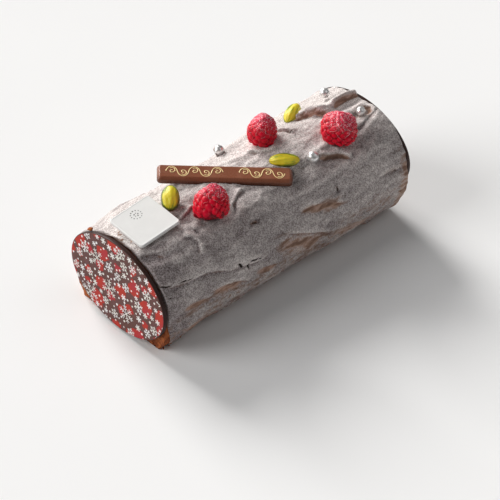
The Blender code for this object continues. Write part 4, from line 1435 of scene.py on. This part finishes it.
@dataclass
class WhitePlaque:
    """The square plaque of white chocolate, with a low rim and a wreath of small dots."""

    slab: Slab = PLAQUE
    corner: float = 0.0017
    softening: float = 0.0006
    rim: float = 0.0008
    wreath: float = 0.0030
    dot: float = 0.00040

    def build(self, material: bpy.types.Material) -> bpy.types.Object:
        """Build the plaque and dress it."""
        thick = self.slab.thickness
        edge = rounded_edge(0.0, self.softening, self.softening)
        foot = [(-thick - height, inset) for height, inset in edge[::-1]]
        rim = [(0.0, 0.0006), (0.0, self.rim), (-0.00008, self.rim + 0.00015), (-0.00008, self.rim + 0.0004), (-0.00008, 0.006)]
        rings = rounded_rings(self.slab.length, self.slab.width, self.corner, 8, foot + edge + rim)
        mesh = lofted(rings, smooth_angle=60.0)
        return dress(new_piece("white_plaque", moved(mesh, self.slab.place()), material), Slot.WHITE, "plaque")

    def build_dots(self, material: bpy.types.Material) -> bpy.types.Object:
        """Build the wreath of dots, a plain ornament."""
        plan = Planter("plaque_dots")
        circle = plan.add("GeometryNodeMeshCircle", {"Vertices": 12, "Radius": plan.size("Wreath", self.wreath)})
        small = plan.add("GeometryNodeMeshCircle", {"Vertices": 5, "Radius": 0.0011}).outputs[0]
        both = plan.add("GeometryNodeJoinGeometry", {0: [circle.outputs[0], small]}).outputs[0]
        disc = plan.add("GeometryNodeMeshCylinder", {"Vertices": 10, "Radius": plan.size("Dot", self.dot),
                                                     "Depth": 0.00008}).outputs[0]
        size = plan.chance(0.7, 1.15, 4)
        dots = plan.scatter(both, disc, plan.vector(size, size, 1.0))
        mesh = plan.grow(dots, material, polyline([Vector(), Vector((0.001, 0, 0))]))
        mesh.transform(self.slab.place() @ Matrix.Translation((-0.0005, 0.0062, -0.00006)))
        return dress(new_piece("plaque_dots", mesh, material))


@dataclass
class ChocolateFinger:
    """The moulded finger of milk chocolate, with a gold scroll on it."""

    slab: Slab = FINGER
    corner: float = 0.0024
    chamfer: float = 0.0013
    side: float = 0.0028
    stroke: float = 0.00026
    vines: tuple = ((-0.0310, 5), (0.0075, 4))
    wave: float = 0.0060
    swing: float = 0.0046
    coil: float = 0.0019

    def build(self, material: bpy.types.Material) -> bpy.types.Object:
        """Build the finger and dress it."""
        thick = self.slab.thickness
        foot = [(-thick, 0.0004), (-thick + 0.0002, 0.0001), (-thick + 0.0005, 0.0)]
        shoulder = rounded_edge(-thick + self.side + 0.0002, 0.0003, 0.0006, 4)
        top = [(-0.00022, self.chamfer - 0.00018), (-0.00006, self.chamfer + 0.00004), (0.0, self.chamfer + 0.0004)]
        dish = [(0.0, self.chamfer + 0.0010), (-0.00005, self.chamfer + 0.0020)]
        rings = rounded_rings(self.slab.length, self.slab.width, self.corner, 8, foot + shoulder + top + dish)
        mesh = lofted(rings, smooth_angle=70.0)
        heights = np.array([point.co.z for point in mesh.vertices])
        # painted shade: the sides are marked darker from the top down to the foot
        store(mesh, "rim", 0.9 * ease((-0.0002 - heights) / 0.0026))
        return dress(new_piece("chocolate_bar", moved(mesh, self.slab.place()), material), Slot.MILK, self.slab.node)

    def curl(self, plan: Planter, turns: float, inner: float, outer: float, east: float, north: float, flip: float,
             lean: float) -> bpy.types.NodeSocket:
        """One spiral curl of the scroll.

        Args:
            plan: The tree to add it to.
            turns: How often it winds.
            inner: Radius where it starts.
            outer: Radius where it ends.
            east: Where its middle lies along the finger.
            north: Where its middle lies across it.
            flip: 1 or -1, which way it winds.
            lean: Its turn in radians.

        Returns:
            The curl as a curve.
        """
        inputs = {"Resolution": 22, "Rotations": turns, "Start Radius": inner, "End Radius": outer, "Height": 0.0}
        spiral = plan.add("GeometryNodeCurveSpiral", inputs).outputs[0]
        return plan.add("GeometryNodeTransform", {"Geometry": spiral, "Translation": (east, north, 0.0),
                                                  "Rotation": (0.0, 0.0, lean),
                                                  "Scale": (1.25, flip, 1.0)}).outputs[0]

    def build_scroll(self, material: bpy.types.Material) -> bpy.types.Object:
        """Build the gold scroll: two lengths of a vine whose waves each hold a coil."""
        plan = Planter("gold_scroll")
        curves = []
        for start, waves in self.vines:
            for number in range(waves):
                side, x = (-1.0) ** number, start + number * self.wave
                curves.append(plan.add("GeometryNodeCurvePrimitiveBezierSegment",
                                       {"Resolution": 16, "Start": (x, 0.0, 0.0), "End": (x + self.wave, 0.0, 0.0),
                                        "Start Handle": (x + 0.15 * self.wave, side * self.swing, 0.0),
                                        "End Handle": (x + 0.85 * self.wave, side * self.swing, 0.0)}).outputs[0])
                curves.append(self.curl(plan, 1.2, 0.0003, self.coil, x + 0.52 * self.wave, side * 0.0004, -side,
                                        side * 0.9))
        joined = plan.add("GeometryNodeJoinGeometry", {0: curves}).outputs[0]
        profile = plan.add("GeometryNodeCurvePrimitiveCircle",
                           {"Resolution": 6, "Radius": plan.size("Stroke", self.stroke)}).outputs[0]
        tube = plan.add("GeometryNodeCurveToMesh", {"Curve": joined, "Profile Curve": profile, "Fill Caps": True})
        flat = plan.add("GeometryNodeTransform", {"Geometry": tube.outputs[0], "Scale": (1.0, 1.0, 0.28)}).outputs[0]
        mesh = plan.grow(flat, material, polyline([Vector(), Vector((0.001, 0, 0))]))
        mesh.shade_smooth()
        mesh.transform(self.slab.place() @ Matrix.Translation((0.0, 0.0, 0.00002)))
        return dress(new_piece("gold_scroll", mesh, material))


@dataclass
class PickedBerry:
    """A hollow picked raspberry: a core open below, drupelets in a golden spiral and fine pale hairs."""

    oval: Oval
    drupelets: int = 92
    drupelet: float = 0.00222
    notch: tuple = (0.0, 0.0, 0.0)  # the way a gap in its rim faces
    uneven: float = 0.0015
    base: float = -0.80
    taper: float = 0.06            # how much it narrows to its tip
    hairs: int = 80
    hair: float = 0.00006

    def core(self) -> bpy.types.Mesh:
        """The core between the drupelets, hollow from below."""
        rings = []
        inside = [(0.16, 0.0090), (0.34, 0.0066), (0.44, 0.0030), (0.50, 0.0)]
        tall = self.oval.size[2]
        for reach, depth in inside:
            rings.append((0.86 * reach, tall * self.base + depth))
        for step in range(17):
            share = step / 17.0
            rings.append((0.86 * math.sin(math.pi * (0.22 + 0.78 * share)) ** 0.62,
                          tall * (self.base + (0.93 - self.base) * share)))
        turns = np.linspace(0.0, 2.0 * math.pi, 36, endpoint=False)
        grid = np.array([[(self.oval.size[0] * reach * math.cos(turn), self.oval.size[1] * reach * math.sin(turn),
                           height) for turn in turns] for reach, height in rings])
        return lofted(grid, last_tip=np.array([0.0, 0.0, 0.93 * tall]))

    def spiral(self, plan: Planter, count: bpy.types.NodeSocket, sink: float) -> tuple:
        """Points in a golden spiral over the berry and the turn that faces each outwards.

        Args:
            plan: The tree to add them to.
            count: How many points.
            sink: How far under the berry's outline they lie.

        Returns:
            The points and their rotation.
        """
        line = plan.add("GeometryNodeMeshLine", {"Count": count}).outputs[0]
        number = plan.add("GeometryNodeInputIndex").outputs[0]
        share = plan.calc("DIVIDE", plan.calc("ADD", number, 0.5), count)
        cosine = plan.calc("SUBTRACT", 0.985, plan.calc("MULTIPLY", share, 1.785))
        sine = plan.calc("SQRT", plan.calc("SUBTRACT", 1.0, plan.calc("MULTIPLY", cosine, cosine)))
        along = plan.calc("MULTIPLY_ADD", plan.calc("ADD", cosine, -self.base), math.pi * 0.78 / 1.8, math.pi * 0.22)
        reach = plan.calc("POWER", plan.calc("SINE", along), 0.62)
        reach = plan.calc("MULTIPLY", reach, plan.calc("MULTIPLY_ADD", cosine, -self.taper, 1.0 - 0.3 * self.taper))
        turn = plan.calc("MULTIPLY", number, 2.399963)
        wide, deep, tall = (size - sink for size in self.oval.size)
        spot = plan.vector(plan.calc("MULTIPLY", plan.calc("MULTIPLY", plan.calc("COSINE", turn), reach), wide),
                           plan.calc("MULTIPLY", plan.calc("MULTIPLY", plan.calc("SINE", turn), reach), deep),
                           plan.calc("MULTIPLY", cosine, tall))
        placed = plan.add("GeometryNodeSetPosition", {"Geometry": line, "Position": spot}).outputs[0]
        outward = plan.vector(plan.calc("MULTIPLY", plan.calc("COSINE", turn), sine),
                              plan.calc("MULTIPLY", plan.calc("SINE", turn), sine), cosine)
        facing = plan.add("FunctionNodeAlignRotationToVector", {"Vector": outward}, axis="Z").outputs[0]
        return placed, facing

    def build(self, material: bpy.types.Material) -> bpy.types.Object:
        """Build the berry and dress it."""
        plan = Planter(self.oval.node)
        count = plan.size("Drupelets", self.drupelets, "NodeSocketInt")
        radius = plan.size("Drupelet radius", self.drupelet)
        ball = plan.add("GeometryNodeMeshIcoSphere", {"Radius": radius, "Subdivisions": 3}).outputs[0]
        place = plan.add("GeometryNodeInputPosition").outputs[0]
        height = plan.add("ShaderNodeSeparateXYZ", {0: place}).outputs["Z"]
        share = plan.calc("DIVIDE", height, radius)
        ball = plan.add("GeometryNodeStoreNamedAttribute", {"Geometry": ball, "Name": "tip", "Value": share},
                        data_type="FLOAT", domain="POINT").outputs[0]
        points, facing = self.spiral(plan, count, 0.80 * self.drupelet)
        if any(self.notch):
            spot = self.oval.place().to_3x3().transposed() @ Vector(self.notch)
            spot = Vector((spot.x, spot.y, 0.0)).normalized() * self.oval.size[0] * 0.8
            gap = (spot.x, spot.y, self.base * self.oval.size[2])
            apart = plan.add("ShaderNodeVectorMath", {0: place, 1: gap}, operation="DISTANCE").outputs["Value"]
            close = plan.add("FunctionNodeCompare", {0: apart, 1: self.drupelet * 1.35}, operation="LESS_THAN",
                             data_type="FLOAT").outputs[0]
            points = plan.add("GeometryNodeDeleteGeometry", {0: points, 1: close}, domain="POINT").outputs[0]
        size = plan.chance(0.88, 1.12, 3)
        globes = plan.scatter(points, ball, plan.vector(size, size, plan.calc("MULTIPLY", size, 0.92)), facing)
        real = plan.add("GeometryNodeRealizeInstances", {0: globes}).outputs[0]
        lumpy = plan.roughen(real, 420.0, 0.0009)
        strand = plan.add("GeometryNodeCurvePrimitiveBezierSegment",
                          {"Resolution": 5, "Start": (-0.0019, 0.0, -0.0003), "Start Handle": (-0.0008, 0.0009, 0.0006),
                           "End Handle": (0.0008, -0.0007, 0.0006), "End": (0.0019, 0.0003, -0.0002)}).outputs[0]
        thread = plan.add("GeometryNodeCurvePrimitiveCircle", {"Resolution": 3, "Radius": self.hair}).outputs[0]
        strand = plan.add("GeometryNodeCurveToMesh", {"Curve": strand, "Profile Curve": thread}).outputs[0]
        strand = plan.add("GeometryNodeStoreNamedAttribute", {"Geometry": strand, "Name": "tip", "Value": 2.0},
                          data_type="FLOAT", domain="POINT").outputs[0]
        spots, outward = self.spiral(plan, plan.size("Hairs", self.hairs, "NodeSocketInt"), -0.0003)
        spin = plan.add("FunctionNodeRotateRotation",
                        {0: outward, 1: plan.vector(z=plan.chance(0.0, 6.283, 31))}, rotation_space="LOCAL").outputs[0]
        down = plan.scatter(spots, strand, plan.vector(plan.chance(0.5, 1.3, 32), 1.0, 1.0), spin)
        both = plan.add("GeometryNodeJoinGeometry", {0: [plan.carrier, lumpy, down]}).outputs[0]
        mesh = plan.grow(both, material, self.core())
        mesh.shade_smooth()
        places = np.array([point.co for point in mesh.vertices])
        store(mesh, "crown", np.clip((places[:, 2] / self.oval.size[2] - self.base) / (1.0 - self.base), 0.0, 1.0))
        x, y, z = (places * 110.0).T
        seed = 100.0 * self.oval.size[0] + 50.0 * self.oval.size[2]
        push = np.stack([rough(x + seed, y, z), rough(x, y + seed + 5.0, z), rough(x, y, z + seed + 9.0)], axis=-1)
        mesh.vertices.foreach_set("co", (places + self.uneven * push).ravel())
        piece = new_piece(f"raspberry_{self.oval.node.split('_')[1]}", moved(mesh, self.oval.place()), material)
        return dress(piece, Slot.BERRY, self.oval.node)


@dataclass
class PistachioKernel:
    """A shelled pistachio: an oval kernel with a pointed end, wrinkles and a seam that gapes a little."""

    oval: Oval
    seam_turn: float = 0.0
    flesh: tuple = (-0.45, -0.50, 0.75)    # the way its yellow flesh faces
    green: float = 0.0             # how far the green skin reaches over it
    fringe: float = 0.50           # how quickly it turns green towards its rim
    rows: int = 46
    columns: int = 64

    def build(self, material: bpy.types.Material) -> bpy.types.Object:
        """Build the kernel and dress it."""
        wide, deep, tall = self.oval.size
        polar = np.linspace(0.03, math.pi - 0.03, self.rows)[:, None]
        turn = np.linspace(0.0, 2.0 * math.pi, self.columns, endpoint=False)[None, :]
        seam = np.exp(-((np.abs((turn - self.seam_turn + math.pi) % math.pi - math.pi / 2.0) - math.pi / 2.0) / 0.16) ** 2)
        taper = 1.0 + 0.08 * np.cos(polar)
        reach = np.sin(polar) ** 1.02 * taper / 1.02 * (1.0 - 0.14 * seam)
        wrinkle = rough(np.cos(turn) * 1.6 + 0.0 * polar, np.sin(turn) * 1.6 + 0.0 * polar, polar * 1.1 + tall * 900.0)
        ridges = rough(np.cos(turn) * 4.0 + 0.0 * polar, np.sin(turn) * 4.0 + 0.0 * polar, polar * 1.6)
        reach = reach * (1.0 + 0.09 * wrinkle + 0.07 * ridges)
        rings = np.stack([wide * reach * np.cos(turn), deep * reach * np.sin(turn),
                          -tall * np.cos(polar) + 0.0 * turn], axis=-1)
        mesh = lofted(rings, np.array([0.0, 0.0, -tall]), np.array([0.0, 0.0, tall]))
        facing = self.oval.place().to_3x3().transposed() @ Vector(self.flesh).normalized()
        away = 1.0 - np.cos(turn - math.atan2(facing.y, facing.x)) * np.sin(polar) ** 0.7
        streak = rough(np.cos(turn) * 5.0 + 0.0 * polar, np.sin(turn) * 5.0 + 0.0 * polar, polar * 0.9 + tall * 500.0)
        edge = self.green + self.fringe * away + 0.34 * wrinkle + 0.60 * streak
        edge = np.concatenate([np.clip(edge, 0.0, 1.0).ravel(), [0.8, 0.8]])
        base = np.concatenate([ease((polar - 2.6) / 0.5 + 0.0 * turn).ravel(), [0.0, 1.0]])
        store(mesh, "rim", edge)
        store(mesh, "husk", base)
        piece = new_piece(f"kernel_{self.oval.node.split('_')[1]}", moved(mesh, self.oval.place()), material)
        return dress(piece, Slot.NUT, self.oval.node)


@dataclass
class SilverBall:
    """A silvered sugar ball, not quite round."""

    oval: Oval
    rows: int = 28
    columns: int = 40

    def build(self, material: bpy.types.Material) -> bpy.types.Object:
        """Build the ball and dress it."""
        polar = np.linspace(0.05, math.pi - 0.05, self.rows)[:, None]
        turn = np.linspace(0.0, 2.0 * math.pi, self.columns, endpoint=False)[None, :]
        unit = np.stack([np.sin(polar) * np.cos(turn), np.sin(polar) * np.sin(turn), -np.cos(polar) + 0.0 * turn],
                        axis=-1)
        dent = 1.0 + 0.018 * rough(unit[..., 0] * 2.2, unit[..., 1] * 2.2, unit[..., 2] * 2.2 + self.oval.size[0] * 3000)
        rings = unit * dent[..., None] * np.array(self.oval.size)
        tall = self.oval.size[2]
        mesh = lofted(rings, np.array([0.0, 0.0, -tall]), np.array([0.0, 0.0, tall]))
        piece = new_piece(self.oval.node.replace("silver", "sugar"), moved(mesh, self.oval.place()), material)
        return dress(piece, Slot.SILVER, self.oval.node)


@dataclass
class CakeCrumbs:
    """Loose crumbs that cling along the foot of the log and under the front plate."""

    form: LogForm = field(default_factory=LogForm)
    count: int = 170
    size: float = 0.0007
    spill: float = 0.0006
    lump: tuple = (-0.0845, 0.0236, 0.0486)    # a larger one caught on the plate's shoulder

    def foot_line(self) -> bpy.types.Mesh:
        """Lines along both long feet and round the front corner."""
        shares = np.linspace(0.0, 1.0, 60)
        near = []
        for share in shares:
            x = -0.0815 + 0.166 * share
            section = self.form.section(np.array(x))
            near.append(Vector((x, -float(section.foot) - 0.0006, 0.0007)))
        front = [Vector((-0.0868 + 0.0012 * share, 0.022 - 0.042 * share, 0.0012)) for share in shares[::3]]
        far = [Vector((point.x, -point.y, point.z)) for point in near]
        side = [Vector((-0.0848 + 0.0030 * (1.0 - share), -0.0300 - 0.0042 * share, 0.0020 + 0.0140 * share))
                for share in shares[::4]]
        points = far[::-1] + front + side[::-1] + near
        mesh = polyline(points)
        return mesh

    def build(self, material: bpy.types.Material) -> bpy.types.Object:
        """Build the crumbs and dress them."""
        plan = Planter("cake_crumbs")
        line = plan.add("GeometryNodeMeshToCurve", {"Mesh": plan.carrier}).outputs[0]
        points = plan.add("GeometryNodeCurveToPoints", {"Curve": line, "Count": plan.size("Crumbs", self.count,
                                                                                       "NodeSocketInt")}).outputs[0]
        spill = plan.size("Spill", self.spill)
        low = plan.vector(plan.calc("MULTIPLY", spill, -1.6), plan.calc("MULTIPLY", spill, -1.0), -0.0002)
        high = plan.vector(plan.calc("MULTIPLY", spill, 1.6), spill, plan.calc("MULTIPLY", spill, 0.9))
        jitter = plan.chance(low, high, 12, "FLOAT_VECTOR")
        points = plan.add("GeometryNodeSetPosition", {"Geometry": points, "Offset": jitter}).outputs[0]
        grain = plan.add("GeometryNodeMeshIcoSphere", {"Radius": plan.size("Crumb", self.size),
                                                       "Subdivisions": 2}).outputs[0]
        size = plan.chance((0.35, 0.35, 0.3), (1.25, 1.1, 0.9), 5, "FLOAT_VECTOR")
        turn = plan.chance((0.0, 0.0, 0.0), (6.28, 6.28, 6.28), 6, "FLOAT_VECTOR")
        bits = plan.scatter(points, grain, size, turn)
        lump = plan.add("GeometryNodeTransform", {"Geometry": grain, "Translation": self.lump,
                                                  "Rotation": (math.radians(-38.0), 0.0, 0.0),
                                                  "Scale": (1.6, 3.4, 1.5)}).outputs[0]
        bits = plan.add("GeometryNodeJoinGeometry", {0: [bits, lump]}).outputs[0]
        real = plan.add("GeometryNodeRealizeInstances", {0: bits}).outputs[0]
        mesh = plan.grow(plan.roughen(real, 1100.0, 0.0011), material, self.foot_line())
        heights = np.array([vertex.co for vertex in mesh.vertices])
        heights[:, 2] = np.maximum(heights[:, 2], 0.0)
        heights[:, 0] = np.clip(heights[:, 0], CAD_LOW.x, CAD_HIGH.x)
        mesh.vertices.foreach_set("co", heights.ravel())
        mesh.shade_smooth()
        return dress(new_piece("cake_crumbs", mesh, material), Slot.SPONGE)


@dataclass(frozen=True)
class Lamp:
    """A broad, distant light: the direction it comes from, how bright it makes white and how wide it looks."""

    name: str
    direction: tuple
    brightness: float
    width: float
    colour: tuple = (1.0, 1.0, 1.0)

    def build(self) -> None:
        """Add the light."""
        light = bpy.data.lights.new(self.name, "SUN")
        light.angle, light.energy, light.color = math.radians(self.width), self.brightness * math.pi, self.colour
        lamp = bpy.data.objects.new(self.name, light)
        lamp.rotation_euler = Vector(self.direction).to_track_quat("Z", "Y").to_euler()
        lamp.location = Vector(self.direction)
        bpy.context.scene.collection.objects.link(lamp)


@dataclass
class Studio:
    """Camera, floor and lights."""

    aim: Vector = field(default_factory=lambda: Vector((-0.01830, -0.02609, 0.02851)))
    distance: float = 1.05
    azimuth: float = math.radians(-42.487)
    elevation: float = math.radians(41.115)
    roll: float = math.radians(0.690)
    lens: float = 143.96
    lamps: tuple = (
        Lamp("key", (0.08, 0.88, 0.47), 1.15, 26.0, (1.0, 0.985, 0.965)),
        Lamp("left", (-0.75, 0.45, 0.48), 0.62, 40.0, (1.0, 0.99, 0.98)),
        Lamp("right", (0.40, -0.55, 0.74), 0.11, 50.0, (0.98, 0.99, 1.0)),
    )
    sky: float = 0.10

    def build(self) -> None:
        """Add camera, lights, sky and floor."""
        back = Vector((math.sin(self.azimuth) * math.cos(self.elevation),
                       -math.cos(self.azimuth) * math.cos(self.elevation), math.sin(self.elevation)))
        level = Vector((math.cos(self.azimuth), math.sin(self.azimuth), 0.0))
        upright = back.cross(level)
        right = level * math.cos(self.roll) + upright * math.sin(self.roll)
        up = upright * math.cos(self.roll) - level * math.sin(self.roll)
        place = self.aim + back * self.distance
        lens = bpy.data.cameras.new("camera")
        lens.lens, lens.sensor_width, lens.clip_start, lens.clip_end = self.lens, 36.0, 0.05, 20.0
        camera = bpy.data.objects.new("camera", lens)
        camera.matrix_world = Matrix.Translation(place) @ Matrix((right, up, back)).transposed().to_4x4()
        bpy.context.scene.collection.objects.link(camera)
        bpy.context.scene.camera = camera
        for lamp in self.lamps:
            lamp.build()
        world = bpy.data.worlds.new("studio_air")
        world.use_nodes = True
        air = world.node_tree.nodes["Background"]
        air.inputs["Color"].default_value = (1.0, 1.0, 1.0, 1.0)
        air.inputs["Strength"].default_value = self.sky
        bpy.context.scene.world = world
        bpy.context.scene.view_settings.view_transform = "Standard"
        self.build_floor()

    @staticmethod
    def build_floor() -> None:
        """Add a plain pale floor."""
        shader = Shader("pale_floor")
        cloud = shader.grain(6.0, 2.0, 0.5)
        colour = shader.blend(cloud, (0.88, 0.88, 0.88), (0.92, 0.92, 0.92))
        material = shader.finish(colour, 0.85, Specular_IOR_Level=0.1)
        mesh = bpy.data.meshes.new("floor")
        half = 6.0
        mesh.from_pydata([(-half, -half, 0), (half, -half, 0), (half, half, 0), (-half, half, 0)], [], [(0, 1, 2, 3)])
        mesh.transform(Matrix.Translation((0.0, 0.0, -0.0002)))
        new_piece("floor", mesh, material)


def main() -> None:
    """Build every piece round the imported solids, in order from the core outwards."""
    logging.basicConfig(level=logging.INFO, format="%(name)s: %(message)s")
    cream = VelourCream().material()
    sponge = CrumbSponge().material()
    dark = Chocolate("dark_plate", (0.100, 0.034, 0.025), (0.135, 0.046, 0.046), 0.42, 0.8).material()
    milk = Chocolate("milk_finger", (0.240, 0.082, 0.043), (0.320, 0.138, 0.086), 0.30, 0.4, 0.25).material()
    white = Chocolate("white_plaque", (0.790, 0.785, 0.770), (0.840, 0.835, 0.820), 0.38, 0.5).material()
    red = PrintInk("print_red", (0.430, 0.026, 0.012), (0.400, 0.022, 0.032), (0.250, 0.026, 0.018)).material()
    pale = PrintInk("print_white", (0.850, 0.840, 0.835), (0.790, 0.775, 0.720), (0.620, 0.560, 0.545)).material()
    grey = PrintInk("dot_grey", (0.180, 0.180, 0.175), (0.200, 0.200, 0.195), (0.420, 0.415, 0.400)).material()
    gold = GoldPaint().material()
    SpongeCore().build(sponge)
    CreamCoat().build(cream)
    front = EndPlate("plate_front", "front_plate", math.radians(4.0))
    front.build(dark)
    EndPlate("plate_back", "back_plate").build(dark)
    plate_print = PlatePrint(front)
    plate_print.build(PrintLayer.BLOBS, red)
    plate_print.build(PrintLayer.FLAKES, pale)
    plaque = WhitePlaque()
    plaque.build(white)
    plaque.build_dots(grey)
    finger = ChocolateFinger()
    finger.build(milk)
    finger.build_scroll(gold)
    skin = RipeBerry().material()
    for oval, notch, taper in zip(BERRIES, ((-0.68, -0.74, 0.0), (0.0, 0.0, 0.0), (0.0, 0.0, 0.0)), (0.06, 0.16, 0.0)):
        PickedBerry(oval, notch=notch, taper=taper).build(skin)
    kernel = Kernel().material()
    for oval, seam, green, fringe in zip(NUTS, (0.4, 1.3, 0.9), (-0.12, 0.04, 0.0), (1.25, 0.5, 0.5)):
        PistachioKernel(oval, seam, green=green, fringe=fringe).build(kernel)
    silver = SilverLeaf().material()
    for oval in BALLS:
        SilverBall(oval).build(silver)
    CakeCrumbs().build(sponge)
    Studio().build()


if __name__ == "__main__":
    main()
